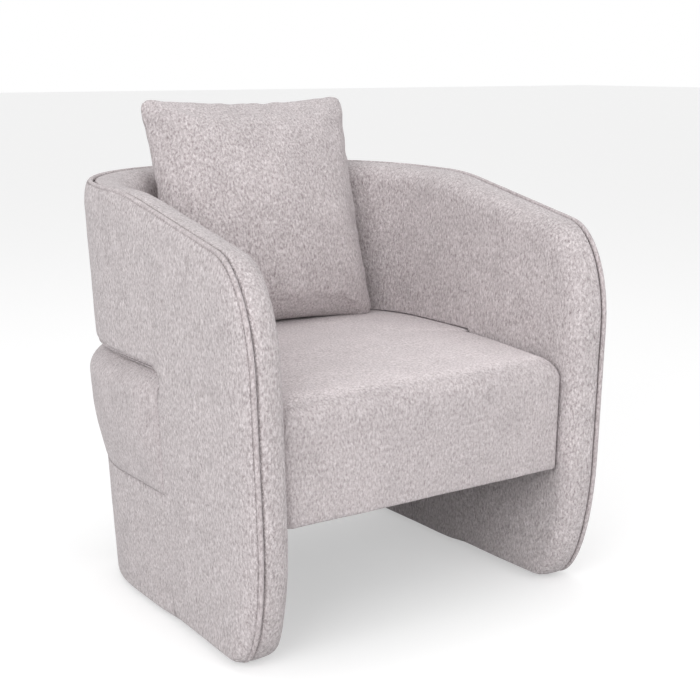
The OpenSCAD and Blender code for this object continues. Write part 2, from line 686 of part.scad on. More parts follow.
// Bolts up through the legs' top plates into the curved back rail
leg_bolt_turn = 4;
leg_bolt_spots = [[1, (rail_spots[0][1] + side_length) / 2, 0], [1, side_length, leg_bolt_turn]];
leg_bolt_grip = 45;
function leg_bolt_place(s) = spot(s, box_inset + rail_thickness / 2, seat_bottom);
module leg_bolt_holes() {
    for (s = leg_bolt_spots) let (p = leg_bolt_place(s))
        translate([p[0], p[1], leg_top_low - overrun])
            cylinder(h = rail_base + leg_bolt_grip + overrun - leg_top_low, r = bolt_radius + skin_gap / 5);
}
module leg_bolts() {
    color("#55585c") for (side = [0, 1]) mirror([side, 0, 0]) for (s = leg_bolt_spots)
        let (p = leg_bolt_place(s)) {
            translate([p[0], p[1], leg_top_low - bolt_head_height])
                cylinder(h = bolt_head_height, r = bolt_head_radius);
            translate([p[0], p[1], leg_top_low - bolt_head_height / 2])
                cylinder(h = rail_base + leg_bolt_grip - leg_top_low, r = bolt_radius);
        }
}

// Glides with their screws
glide_front_u = foot_corner_run + glide_radius * 1.5;
glide_rear_turn = 14;
glide_edge = 2.5;
glide_front_top = floor_clearance + border_drop;
function front_glide() = place(1, panel_middle, glide_front_u, glide_front_top);
function rear_glide() = let (t = glide_rear_turn)
    place(1, (curve_x(t, 0) + inner_depth) / 2, curve_u(t, 0), floor_clearance);
module glide(p, height) {
    translate([p[0], p[1], 0]) difference() {
        rotate_extrude() polygon([[0, 0], [glide_radius - glide_edge, 0], [glide_radius, glide_edge],
            [glide_radius, height], [0, height]]);
        translate([0, 0, -overrun])
            cylinder(h = height + 2 * overrun, r = glide_screw_radius + skin_gap / 5);
        translate([0, 0, -overrun]) cylinder(h = glide_edge + overrun, r = glide_screw_radius * 2);
    }
}
module glides(side) {
    color("#1c1b1d") mirror([side > 0 ? 0 : 1, 0, 0]) {
        glide(front_glide(), glide_front_top - piping_radius / 2);
        glide(rear_glide(), floor_clearance);
    }
}
module screw_hole(p, low) {
    translate([p[0], p[1], low])
        cylinder(h = glide_screw_length + overrun, r = glide_screw_radius + skin_gap / 5);
}
module front_screw_holes() {
    screw_hole(front_glide(), glide_edge);
    mirror([1, 0, 0]) screw_hole(front_glide(), glide_edge);
}
module rear_screw_holes() {
    screw_hole(rear_glide(), glide_edge);
}
module glide_screws() {
    color("#8b8d90") for (side = [0, 1]) mirror([side, 0, 0])
        for (p = [front_glide(), rear_glide()]) translate([p[0], p[1], glide_edge / 2]) {
            cylinder(h = glide_edge / 2, r = glide_screw_radius * 2 - skin_gap / 5);
            cylinder(h = glide_screw_length, r = glide_screw_radius);
        }
}

// Loose cushion: a square with a knife edge, its sides drawn in between full corners
cushion_ring_shares = [0.22, 0.45, 0.65, 0.8, 0.9, 0.97];
cushion_side_count = 10;
cushion_draw_share = 0.06;
cushion_full_share = 0.5;
cushion_corner_share = 0.05;
cushion_corner_power = 16;
function cushion_edge(k) =
    let (n = cushion_side_count, q = floor(k / n), a = sin(90 * ((k % n) * 2 / n - 1)))
    q == 0 ? [1, a] : q == 1 ? [-a, 1] : q == 2 ? [-1, -a] : [a, -1];
function cushion_point(k, s, face, m) = let (e = cushion_edge(k) * s,
    pull = 1 - cushion_draw_share * (1 - min(abs(e[0]), abs(e[1])) * min(abs(e[0]), abs(e[1]))) * s * s,
    round = 1 - cushion_corner_share * pow(abs(e[0] * e[1]), cushion_corner_power),
    fill = pow((1 - e[0] * e[0]) * (1 - e[1] * e[1]), cushion_full_share))
    [e[0] * (cushion_side / 2 - m) * pull * round,
        face * max(0, cushion_depth / 2 * fill - m), e[1] * (cushion_side / 2 - m) * pull * round];
function cushion_ring(s, face, m) =
    [for (k = [0 : 4 * cushion_side_count - 1]) cushion_point(k, s, face, m)];
module cushion_form(m) {
    fan_solid(concat([for (s = cushion_ring_shares) cushion_ring(s, 1, m)], [cushion_ring(1, 0, m)],
        [for (s = turned(cushion_ring_shares)) cushion_ring(s, -1, m)]),
        [0, cushion_depth / 2 - m, 0], [0, m - cushion_depth / 2, 0]);
}
cushion_sink = 9.9;
cushion_back_share = 0.053;
cushion_floor = seat_top + seat_crown - cushion_sink;
cushion_reach_share = (cushion_shift + cushion_side / 2) / (inner_depth * wide(chair_height));
cushion_turn = acos(pow(cushion_reach_share, 1 / plan_curve_share));
cushion_stop = front_y + curve_u(cushion_turn, wall_thickness) * deep(chair_height);
cushion_y = cushion_stop - (chair_height - cushion_floor) * tan(cushion_lean)
    - cushion_depth * cushion_back_share;
module cushion_stand() {
    translate([cushion_shift, cushion_y, cushion_floor])
        rotate([-cushion_lean, 0, 0]) translate([0, 0, cushion_side / 2]) children();
}
module cushion_cover() {
    color("#aca3a2") cushion_stand() difference() {
        cushion_form(0);
        cushion_form(cover_thickness);
    }
}
module cushion_filling() {
    color("#f1efe9") cushion_stand() cushion_form(cover_thickness + skin_gap);
}

outer_cover();
inner_cover();
piping();
arm_foam(-1);  // arm_foam_left
arm_foam(1);  // arm_foam_right
back_foam();
back_gap_roll();
side_frame(-1);  // side_frame_left
side_frame(1);  // side_frame_right
rib(band_low);  // belt_rib
rib(top_rib_low);  // top_rib
back_posts();
back_board(pocket_depth - board_thickness);  // back_outer_board
back_board(rib_front + skin_gap);  // back_inner_board
leg_cover(-1);  // leg_cover_left
leg_cover(1);  // leg_cover_right
leg_foam(-1);  // leg_foam_left
leg_foam(1);  // leg_foam_right
leg_base(-1);  // leg_base_left
leg_base(1);  // leg_base_right
leg_top(-1);  // leg_top_left
leg_top(1);  // leg_top_right
leg_panel(-1);  // leg_panel_left
leg_panel(1);  // leg_panel_right
seat_front_rail();
seat_side_rails();
seat_cross_rail();
seat_back_rail();
seat_corner_blocks();
seat_springs();
spring_clips();
spring_felt();
seat_foam();
box_foam();
seat_cover();
seat_dust_cloth();
seat_bolts();
seat_bolt_nuts();
leg_bolts();
glides(-1);  // glides_left
glides(1);  // glides_right
glide_screws();
cushion_cover();
cushion_filling();
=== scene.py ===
import math

import bmesh
import bpy
from mathutils import Matrix, Vector, noise


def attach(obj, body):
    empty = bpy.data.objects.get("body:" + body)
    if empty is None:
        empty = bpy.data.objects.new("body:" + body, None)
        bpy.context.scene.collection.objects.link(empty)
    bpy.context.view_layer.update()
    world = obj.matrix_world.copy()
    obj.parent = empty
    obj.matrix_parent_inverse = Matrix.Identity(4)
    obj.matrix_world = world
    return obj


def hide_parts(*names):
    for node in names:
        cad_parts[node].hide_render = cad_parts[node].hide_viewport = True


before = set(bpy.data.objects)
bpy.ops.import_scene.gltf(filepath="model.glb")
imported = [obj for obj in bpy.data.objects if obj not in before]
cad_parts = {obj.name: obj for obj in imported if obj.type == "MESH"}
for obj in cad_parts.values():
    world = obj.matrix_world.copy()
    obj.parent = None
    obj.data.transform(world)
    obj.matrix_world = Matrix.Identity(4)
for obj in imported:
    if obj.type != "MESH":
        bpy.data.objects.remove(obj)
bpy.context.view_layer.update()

# Plywood frame: two side frames, two horseshoe ribs with posts between them, the legs' plates
# and upright boards. Sawn from birch plywood and left raw under the upholstery; the back's two
# boards are bent hardboard, stapled to the ribs.


def add(tree, kind, values=None, **settings):
    made = tree.nodes.new(kind)
    for name, setting in settings.items():
        setattr(made, name, setting)
    for name, value in (values or {}).items():
        socket = made.inputs[name]
        if isinstance(value, bpy.types.NodeSocket):
            tree.links.new(value, socket)
        else:
            socket.default_value = value
    return made


def effect(name, inputs):
    tree = bpy.data.node_groups.new(name, "ShaderNodeTree")
    for label, kind, value in inputs:
        socket = tree.interface.new_socket(name=label, in_out="INPUT", socket_type=kind)
        socket.default_value = value
    for label, kind in (("Color", "NodeSocketColor"), ("Roughness", "NodeSocketFloat"),
                        ("Height", "NodeSocketFloat")):
        tree.interface.new_socket(name=label, in_out="OUTPUT", socket_type=kind)
    return tree, tree.nodes.new("NodeGroupInput").outputs, tree.nodes.new("NodeGroupOutput").inputs


def worked(tree, operation, first, second):
    return add(tree, "ShaderNodeMath", {0: first, 1: second}, operation=operation).outputs[0]


def mixed(tree, mode, share, first, second):
    made = add(tree, "ShaderNodeMix", {0: share, 6: first, 7: second}, data_type="RGBA", blend_type=mode)
    return made.outputs[2]


def ranged(tree, value, low, high, start=0.0, end=1.0):
    return add(tree, "ShaderNodeMapRange", {"Value": value, "From Min": low, "From Max": high,
                                            "To Min": start, "To Max": end}).outputs["Result"]


def finish(name, group, values, bump, depth, **uniform):
    made = bpy.data.materials.new(name)
    made.use_nodes = True
    tree = made.node_tree
    shader = tree.nodes["Principled BSDF"]
    for label, value in uniform.items():
        shader.inputs[label.replace("_", " ").title().replace("Ior", "IOR")].default_value = value
    pattern = add(tree, "ShaderNodeGroup", node_tree=group)
    for label, value in values.items():
        pattern.inputs[label].default_value = value
    tree.links.new(pattern.outputs["Color"], shader.inputs["Base Color"])
    tree.links.new(pattern.outputs["Roughness"], shader.inputs["Roughness"])
    relief = add(tree, "ShaderNodeBump", {"Strength": bump, "Distance": depth,
                                          "Height": pattern.outputs["Height"]})
    tree.links.new(relief.outputs["Normal"], shader.inputs["Normal"])
    return made


def dress(finished, *names):
    for name in names:
        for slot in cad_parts[name].material_slots:
            slot.material = finished


wood_figure, given, out = effect("wood figure", [
    ("Light", "NodeSocketColor", (0.62, 0.45, 0.27, 1)), ("Dark", "NodeSocketColor", (0.40, 0.25, 0.12, 1)),
    ("Stretch", "NodeSocketVector", (4.0, 40.0, 40.0)), ("Plies", "NodeSocketFloat", 0.0)])
place_in_piece = add(wood_figure, "ShaderNodeTexCoord").outputs["Object"]
stretched = add(wood_figure, "ShaderNodeVectorMath", {0: place_in_piece, 1: given["Stretch"]},
                operation="MULTIPLY").outputs[0]
grain = add(wood_figure, "ShaderNodeTexNoise", {"Vector": stretched, "Scale": 1.0, "Detail": 6.0,
                                                "Roughness": 0.62, "Distortion": 0.6}).outputs[0]
pores = add(wood_figure, "ShaderNodeTexNoise", {"Vector": stretched, "Scale": 9.0, "Detail": 2.0}).outputs[0]
plies = add(wood_figure, "ShaderNodeTexWave", {"Vector": place_in_piece, "Scale": 100.0, "Distortion": 0.4},
            bands_direction="Z").outputs["Fac"]
figure = mixed(wood_figure, "MIX", ranged(wood_figure, grain, 0.35, 0.66), given["Light"], given["Dark"])
layer = worked(wood_figure, "MULTIPLY", plies, given["Plies"])
layered = mixed(wood_figure, "MIX", layer, figure, given["Dark"])
wood_figure.links.new(mixed(wood_figure, "MIX", ranged(wood_figure, pores, 0.62, 0.75, 0.0, 0.5),
                            layered, given["Dark"]), out["Color"])
wood_figure.links.new(ranged(wood_figure, grain, 0.2, 0.8, 0.62, 0.82), out["Roughness"])
wood_figure.links.new(grain, out["Height"])

birch_ply = finish("birch plywood", wood_figure, {
    "Light": (0.66, 0.49, 0.31, 1), "Dark": (0.43, 0.28, 0.15, 1), "Stretch": (6.0, 60.0, 6.0),
    "Plies": 0.25}, 0.25, 0.0004)
dress(birch_ply, "side_frame_left", "side_frame_right", "belt_rib", "top_rib", "back_posts",
      "leg_base_left", "leg_base_right", "leg_top_left", "leg_top_right", "leg_panel_left",
      "leg_panel_right")
hardboard = finish("brown hardboard", wood_figure, {
    "Light": (0.30, 0.18, 0.09, 1), "Dark": (0.19, 0.11, 0.05, 1), "Stretch": (90.0, 90.0, 90.0)},
    0.2, 0.0003)
dress(hardboard, "back_outer_board", "back_inner_board")

# Seat box: spruce rails and corner blocks, glued and screwed, with sinuous steel springs held by
# pressed clips on the front and back rails, and a pad of needled felt over the springs.

spruce = finish("planed spruce", wood_figure, {
    "Light": (0.68, 0.51, 0.32, 1), "Dark": (0.50, 0.33, 0.17, 1), "Stretch": (3.0, 34.0, 34.0)},
    0.3, 0.0005)
dress(spruce, "seat_front_rail", "seat_cross_rail", "seat_back_rail")
spruce_along = finish("planed spruce lengthways", wood_figure, {
    "Light": (0.66, 0.48, 0.30, 1), "Dark": (0.48, 0.31, 0.16, 1), "Stretch": (34.0, 3.0, 34.0)},
    0.3, 0.0005)
dress(spruce_along, "seat_side_rails", "seat_corner_blocks")

metal_marks, given, out = effect("metal marks", [
    ("Bright", "NodeSocketColor", (0.6, 0.6, 0.62, 1)), ("Dull", "NodeSocketColor", (0.4, 0.4, 0.42, 1)),
    ("Smooth", "NodeSocketFloat", 0.3), ("Rough", "NodeSocketFloat", 0.5),
    ("Scale", "NodeSocketFloat", 60.0)])
place_in_piece = add(metal_marks, "ShaderNodeTexCoord").outputs["Object"]
clouds = add(metal_marks, "ShaderNodeTexNoise", {"Vector": place_in_piece, "Scale": given["Scale"],
                                                 "Detail": 5.0, "Roughness": 0.6}).outputs[0]
scratched = add(metal_marks, "ShaderNodeVectorMath", {0: place_in_piece, 1: (900.0, 900.0, 60.0)},
                operation="MULTIPLY").outputs[0]
scratches = add(metal_marks, "ShaderNodeTexNoise", {"Vector": scratched, "Scale": 1.0}).outputs[0]
metal_marks.links.new(mixed(metal_marks, "MIX", ranged(metal_marks, clouds, 0.35, 0.65),
                            given["Bright"], given["Dull"]), out["Color"])
spread = add(metal_marks, "ShaderNodeMapRange", {
    "Value": clouds, "From Min": 0.3, "From Max": 0.7, "To Min": given["Smooth"],
    "To Max": given["Rough"]}).outputs["Result"]
metal_marks.links.new(spread, out["Roughness"])
metal_marks.links.new(scratches, out["Height"])

spring_steel = finish("oiled spring steel", metal_marks, {
    "Bright": (0.36, 0.37, 0.39, 1), "Dull": (0.20, 0.20, 0.21, 1), "Smooth": 0.28, "Rough": 0.5},
    0.15, 0.0002, metallic=1.0)
dress(spring_steel, "seat_springs", "spring_clips")

fibre_mat, given, out = effect("matted fibres", [
    ("Light", "NodeSocketColor", (0.2, 0.2, 0.2, 1)), ("Dark", "NodeSocketColor", (0.1, 0.1, 0.1, 1)),
    ("Fleck", "NodeSocketColor", (0.3, 0.3, 0.3, 1)), ("Scale", "NodeSocketFloat", 400.0)])
place_in_piece = add(fibre_mat, "ShaderNodeTexCoord").outputs["Object"]
felted = add(fibre_mat, "ShaderNodeTexNoise", {"Vector": place_in_piece, "Scale": given["Scale"],
                                               "Detail": 5.0, "Distortion": 1.5}).outputs[0]
lint = add(fibre_mat, "ShaderNodeTexVoronoi", {"Vector": place_in_piece, "Scale": given["Scale"]},
           feature="DISTANCE_TO_EDGE").outputs[0]
matted = mixed(fibre_mat, "MIX", ranged(fibre_mat, felted, 0.35, 0.65), given["Dark"], given["Light"])
fibre_mat.links.new(mixed(fibre_mat, "MIX", ranged(fibre_mat, lint, 0.03, 0.0, 0.0, 0.7), matted,
                          given["Fleck"]), out["Color"])
fibre_mat.links.new(ranged(fibre_mat, felted, 0.3, 0.7, 0.98, 0.85), out["Roughness"])
fibre_mat.links.new(felted, out["Height"])

needled_felt = finish("needled felt", fibre_mat, {
    "Light": (0.24, 0.24, 0.25, 1), "Dark": (0.12, 0.12, 0.13, 1), "Fleck": (0.4, 0.36, 0.3, 1),
    "Scale": 220.0}, 0.5, 0.001)
dress(needled_felt, "spring_felt")

# Outer cover: one skin of soft warm-grey chenille from the front of one arm round the back to the
# other arm. It swells out from behind the piping, lies flush with the legs below the windows, is
# rounded at each window's upper corner and is turned in along the lower edge of the band.

# The shell's height, its width and depth at the floor, and how much it widens and leans to the top
HEIGHT, WIDTH, DEPTH, SPREAD, RAKE = 0.747, 0.720, 0.727, 0.055, 0.047
# The padded wall, the straight part of the sides, the clearance over the floor, the seat's underside
WALL, SIDE, CLEAR, SEAT_LOW = 0.074, 0.428, 0.007, 0.233
# The arm's upper front corner and the slope behind it, and the lower front corner with its bulge
CORNER_BASE, CORNER_RUN, CORNER_RISE, SLOPE = 0.491, 0.103, 0.190, 0.219
FOOT_RUN, FOOT_RISE, FOOT_CURVE, FOOT_SWELL = 0.089, 0.256, 0.91, 0.014
# The windows' front edge, upper edge and corner radius, and the swell behind the piping
WINDOW, BAND, WINDOW_CORNER = 0.293, 0.455, 0.022
SWELL_DEPTH, SWELL_RUN, SEAM_TURN, LOW_SHARE = 0.014, 0.050, 65, 0.3
HALF, PLAN_CURVE = WIDTH / 2, 0.798
FRONT = -(DEPTH + RAKE * (1 - SWELL_RUN / HEIGHT)) / 2
ARM_TURN = math.degrees(math.atan(CORNER_RISE / (CORNER_RUN * SLOPE)))


def sin(turn):
    return math.sin(math.radians(turn))


def cos(turn):
    # Never below nothing, so that its powers hold at a right angle
    return max(0.0, math.cos(math.radians(turn)))


def place(x, u, z):
    return Vector((x * (1 + SPREAD / WIDTH * z / HEIGHT), FRONT + u * (1 + RAKE / DEPTH * z / HEIGHT), z))


def plan(u, turn, depth):
    if turn <= 0:
        return HALF - depth, u
    return ((HALF - depth) * cos(turn) ** PLAN_CURVE,
            SIDE + (DEPTH - SIDE - depth) * sin(turn) ** PLAN_CURVE)


TOP_RUN = CORNER_RUN * (1 - cos(ARM_TURN))
TOP_RISE = CORNER_BASE + CORNER_RISE * sin(ARM_TURN)
# The arm's straight slope eases off from here and goes on rising a little to the middle of the back.
BLEND, SIDE_SLOPE, BACK_RISE = 0.340, 0.034, 0.0105
# Steps round a front corner, along the floor, up a window's front edge, round its corner, along the
# rest of the side and round half the back. The upper edge has its corner steps over the window's.
ARC_STEPS, FLOOR_STEPS, RISE_STEPS, CORNER_STEPS, SIDE_STEPS, TURN_STEPS = 18, 12, 22, 8, 8, 44
CORNER_FROM, CORNER_TO = 0.272, 0.330


def edge_tilt(u):
    return SLOPE + (SIDE_SLOPE - SLOPE) * min(1.0, max(0.0, (u - BLEND) / (SIDE - BLEND)))


def edge_height(u, turn=0):
    eased = max(0.0, u - BLEND)
    straight = TOP_RISE + (min(u, BLEND) - TOP_RUN) * SLOPE
    return straight + eased * (SLOPE + edge_tilt(u)) / 2 + BACK_RISE * sin(turn)


def between(first, last, count):
    """Even steps that leave out the first value and end on the last."""
    return [first + (last - first) * i / count for i in range(1, count + 1)]


def until(first, last, count):
    """Even steps that start on the first value and leave out the last."""
    return [first] + between(first, last, count)[:-1]


def upper_edge():
    # Spots are (distance from the front, turn round the back, height, inward run, inward rise, fall).
    spots = []
    for a in [0] + between(0, ARM_TURN, ARC_STEPS):
        reach = math.hypot(cos(a) * CORNER_RISE, sin(a) * CORNER_RUN)
        spots.append((CORNER_RUN * (1 - cos(a)), 0, CORNER_BASE + CORNER_RISE * sin(a),
                      cos(a) * CORNER_RISE / reach, -sin(a) * CORNER_RUN / reach, 1))
    for u in (between(spots[-1][0], CORNER_FROM, FLOOR_STEPS + RISE_STEPS)
              + between(CORNER_FROM, CORNER_TO, CORNER_STEPS) + between(CORNER_TO, SIDE, SIDE_STEPS)):
        tilt = edge_tilt(u)
        reach = math.hypot(tilt, 1)
        spots.append((u, 0, edge_height(u), tilt / reach, -1 / reach, 1))
    return spots + [(SIDE, turn, edge_height(SIDE, turn), 0, -1, 1) for turn in between(0, 90, TURN_STEPS)]


def foot_corner(a):
    reach = math.hypot(cos(a) * FOOT_RISE, sin(a) * FOOT_RUN)
    return (FOOT_RUN * (1 - cos(a) ** FOOT_CURVE), CLEAR + FOOT_RISE * (1 - sin(a) ** FOOT_CURVE),
            cos(a) * FOOT_RISE / reach, sin(a) * FOOT_RUN / reach)


# Height where a window's front edge starts to stand off the drum, its fall at the corner, and the
# lower front corner's turn from where the swell eases off
FREE_HEIGHT, CORNER_FALL, EASE_TURN = 0.385, 0.8, 35


def lower_edge(band, corner, band_share):
    # The last number says how much of the swell an edge has: none where it runs into the leg.
    spots = []
    for a in [0] + between(0, 90, ARC_STEPS):
        u, z, run, rise = foot_corner(a)
        # The swell eases off towards the floor.
        low = max(0.0, (a - EASE_TURN) / (90 - EASE_TURN))
        share = 1 - (1 - LOW_SHARE) * low * low * (3 - 2 * low)
        spots.append((u, 0, z, run * share, rise * share, 1))
    spots += [(u, 0, CLEAR, 0, LOW_SHARE, 1) for u in between(FOOT_RUN, WINDOW, FLOOR_STEPS)[:-1]]
    spots.append((WINDOW, 0, CLEAR, -LOW_SHARE, LOW_SHARE, 1))
    for z in between(CLEAR, band - corner, RISE_STEPS):
        free = max(0.0, (z - FREE_HEIGHT) / (band - corner - FREE_HEIGHT))
        spots.append((WINDOW, 0, z, -LOW_SHARE, 0, free ** 2 * CORNER_FALL))
    for share in between(0, 1, CORNER_STEPS):
        a = 90 * share
        spots.append((WINDOW + corner * (1 - cos(a)), 0, band - corner * (1 - sin(a)),
                      -band_share * cos(a), band_share * sin(a),
                      CORNER_FALL + (1 - CORNER_FALL) * share))
    spots += [(u, 0, band, 0, band_share, 1) for u in between(WINDOW + corner, SIDE, SIDE_STEPS)]
    return spots + [(SIDE, turn, band, 0, band_share, 1) for turn in between(0, 90, TURN_STEPS)]


def foot_bulge(share, u, z):
    return FOOT_SWELL * share * max(0, 1 - z / CORNER_BASE) ** 2 * max(0, 1 - u / WINDOW)


def spot_place(spot, level, base):
    # Levels are (depth behind the outer face, inset from the edge, share of the foot's bulge), and
    # for a hem also its depth and overlap where it slips under the leg's cover.
    u, turn, z, run, rise, fall = spot
    depth, inset = base + (level[0] - base) * fall, level[1]
    if fall < CORNER_FALL and len(level) > 3:
        depth = base + (level[3] if base < WALL / 2 else -level[3])
        inset = level[1] * fall - level[4] * (1 - fall)
    u, z = u + run * inset, z + rise * inset
    x, v = plan(u, turn, depth)
    if turn <= 0:
        x += foot_bulge(level[2], u, z)
    return place(x, v, z), depth, (u, turn, z)


def skin(levels, base, rows, lower):
    """Half a shell's skin: strips along its edges, then rows between upper and lower edge."""
    points, faces = [], []

    def strip(spots, turned):
        first = len(points)
        for spot in spots:
            points.extend(spot_place(spot, level, base)[0] for level in levels)
        count = len(levels)
        for i in range(len(spots) - 1):
            for k in range(count - 1):
                a = first + i * count + k
                quad = (a, a + 1, a + count + 1, a + count)
                faces.append(quad if turned else quad[::-1])

    upper = upper_edge()
    strip(upper, False)
    strip(lower, True)
    strip([(0, 0, upper[0][2] + (lower[0][2] - upper[0][2]) * r / rows, 1, 0, 1)
           for r in range(rows + 1)], True)
    last = levels[-1]
    first = len(points)
    for high, low in zip(upper, lower):
        ends = [spot_place(spot, last, base) for spot in (high, low)]
        for r in range(rows + 1):
            share = r / rows
            u, z = (ends[0][2][j] + (ends[1][2][j] - ends[0][2][j]) * share for j in (0, 2))
            depth = ends[0][1] + (ends[1][1] - ends[0][1]) * share
            x, v = plan(u, high[1], depth)
            if high[1] <= 0:
                x += foot_bulge(last[2], u, z)
            points.append(place(x, v, z) if 0 < r < rows else ends[r // rows][0])
    for i in range(len(upper) - 1):
        for r in range(rows):
            a = first + i * (rows + 1) + r
            faces.append((a, a + 1, a + rows + 2, a + rows + 1))
    return points, faces


def solid_piece(name, points, faces, finished, both_sides=False, outward=None):
    """A piece from points and faces. outward is a spot on it and the way its skin faces there."""
    points, faces = list(points), list(faces)
    if both_sides:
        count = len(points)
        points += [Vector((-p[0], p[1], p[2])) for p in points]
        faces += [tuple(i + count for i in reversed(face)) for face in faces]
    mesh = bpy.data.meshes.new(name)
    mesh.from_pydata([tuple(p) for p in points], [], faces)
    shape = bmesh.new()
    shape.from_mesh(mesh)
    bmesh.ops.remove_doubles(shape, verts=shape.verts, dist=0.00002)
    bmesh.ops.dissolve_degenerate(shape, edges=shape.edges, dist=0.00001)
    bmesh.ops.recalc_face_normals(shape, faces=shape.faces)
    if outward:
        face = min(shape.faces, key=lambda f: (f.calc_center_median() - Vector(outward[0])).length)
        if face.normal.dot(Vector(outward[1])) < 0:
            bmesh.ops.reverse_faces(shape, faces=shape.faces)
    for face in shape.faces:
        face.smooth = True
    shape.to_mesh(mesh)
    shape.free()
    piece = bpy.data.objects.new(name, mesh)
    bpy.context.scene.collection.objects.link(piece)
    mesh.materials.append(finished)
    return piece


def settle(piece):
    """Turns a piece's modifiers into a plain mesh."""
    bpy.context.view_layer.update()
    made = bpy.data.meshes.new_from_object(piece.evaluated_get(bpy.context.evaluated_depsgraph_get()))
    piece.modifiers.clear()
    old = piece.data
    piece.data = made
    made.name = piece.name
    if old.users == 0:
        bpy.data.meshes.remove(old)
    return piece


def ruffle(piece, reach, size, seed):
    """Pushes the surface in and out a little, as hand-stretched cloth over padding lies."""
    shift = Vector((seed, seed * 2.3, seed * 3.1))
    moved = [vertex.co + vertex.normal * noise.fractal(vertex.co / size + shift, 1.0, 2.0, 3) * reach
             for vertex in piece.data.vertices]
    piece.data.vertices.foreach_set("co", [value for point in moved for value in point])
    piece.data.update()


COVER = 0.0024


def give_thickness(piece, thickness=COVER):
    shell = piece.modifiers.new("thickness", "SOLIDIFY")
    shell.thickness = thickness
    shell.offset = -1
    shell.use_even_offset = False
    return settle(piece)


nap, given, out = effect("chenille nap", [
    ("Base", "NodeSocketColor", (0.45, 0.40, 0.40, 1)), ("Dark", "NodeSocketColor", (0.30, 0.26, 0.26, 1)),
    ("Light", "NodeSocketColor", (0.62, 0.56, 0.56, 1)), ("Scale", "NodeSocketFloat", 330.0),
    ("Flecks", "NodeSocketFloat", 0.5), ("Clouds", "NodeSocketFloat", 0.06),
    ("Lift", "NodeSocketFloat", 0.0)])
position = add(nap, "ShaderNodeTexCoord")
place_in_piece = position.outputs["Object"]
lengthened = add(nap, "ShaderNodeVectorMath", {0: place_in_piece, 1: (1.0, 1.0, 0.55)},
                 operation="MULTIPLY").outputs[0]
tufts = add(nap, "ShaderNodeTexNoise", {"Vector": lengthened, "Scale": given["Scale"], "Detail": 4.0,
                                        "Roughness": 0.65, "Distortion": 0.4}).outputs[0]
slubs = add(nap, "ShaderNodeTexVoronoi", {"Vector": lengthened, "Scale": given["Scale"]}).outputs[0]
turned_over = add(nap, "ShaderNodeVectorMath", {0: place_in_piece, 1: (0.37, 0.11, 0.23)},
                  operation="ADD").outputs[0]
specks = add(nap, "ShaderNodeTexNoise", {"Vector": turned_over, "Scale": given["Scale"],
                                         "Detail": 2.0}).outputs[0]
brushed = add(nap, "ShaderNodeTexNoise", {"Vector": place_in_piece, "Scale": 16.0, "Detail": 3.0,
                                          "Roughness": 0.6}).outputs[0]
tone = mixed(nap, "MIX", ranged(nap, tufts, 0.28, 0.72), given["Dark"], given["Light"])
light_share = worked(nap, "MULTIPLY", ranged(nap, specks, 0.30, 0.70), given["Flecks"])
flecked = mixed(nap, "MIX", light_share, tone, given["Base"])
# Painted top light: faces whose normal points up get a lighter colour, scaled by the group's top light
# input. The brushed clouds beside it are random tone.
facing_up = add(nap, "ShaderNodeSeparateXYZ", {0: position.outputs["Normal"]}).outputs["Z"]
painted_top_light = worked(nap, "MULTIPLY", ranged(nap, facing_up, 0.78, 0.98), given["Lift"])
cloud_tone = worked(nap, "MULTIPLY", ranged(nap, brushed, 0.3, 0.7, -1.0, 1.0), given["Clouds"])
tone_and_top_light = worked(nap, "ADD", worked(nap, "ADD", cloud_tone, painted_top_light), 1.0)
tone_and_top_light_colour = add(nap, "ShaderNodeCombineColor", {0: tone_and_top_light, 1: tone_and_top_light, 2: tone_and_top_light}).outputs[0]
nap.links.new(mixed(nap, "MULTIPLY", 1.0, flecked, tone_and_top_light_colour), out["Color"])
nap.links.new(ranged(nap, tufts, 0.3, 0.7, 0.97, 0.86), out["Roughness"])
nap.links.new(worked(nap, "ADD", tufts, ranged(nap, slubs, 0.0, 0.7, 0.5, 0.0)), out["Height"])

soft_gloss = {"sheen_weight": 0.25, "sheen_roughness": 0.5, "specular_ior_level": 0.25}
chenille = finish("warm grey chenille", nap, {
    "Base": (0.490, 0.436, 0.441, 1), "Dark": (0.225, 0.186, 0.190, 1), "Light": (0.760, 0.705, 0.715, 1),
    "Scale": 275.0, "Flecks": 0.25, "Clouds": 0.06}, 0.9, 0.0026, **soft_gloss)

# All skins ruffle alike, so that they still meet: how far, over what size and with which seed.
RUFFLE = (0.0007, 0.075, 1.7)
SWELL_STEPS, ROWS = 9, 56
# Two levels of turned-in hem, then the swell from the piping's seam to the outer face
swell_levels = [(0.0115, 0.0105, 0, 0.0011, 0.010), (0.0098, 0.0068, 0, 0.0001, 0.001)]
for step in range(SWELL_STEPS, -1, -1):
    a = SEAM_TURN * step / SWELL_STEPS
    swell_levels.append((SWELL_DEPTH * (1 - cos(a)), SWELL_RUN * (1 - sin(a)),
                         (cos(a) - cos(SEAM_TURN)) / (1 - cos(SEAM_TURN))))
outer_points, outer_faces = skin(swell_levels, 0, ROWS, lower_edge(BAND, WINDOW_CORNER, LOW_SHARE))
outer_skin = solid_piece("outer_skin", outer_points, outer_faces, chenille, both_sides=True,
                         outward=((0.38, 0, 0.6), (1, 0, 0)))
ruffle(outer_skin, *RUFFLE)
give_thickness(outer_skin)
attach(outer_skin, "chair")
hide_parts("outer_cover")

# Turned-in edge of the outer cover: it goes round each window's front edge and on under the band,
# and is stapled to the frame there.

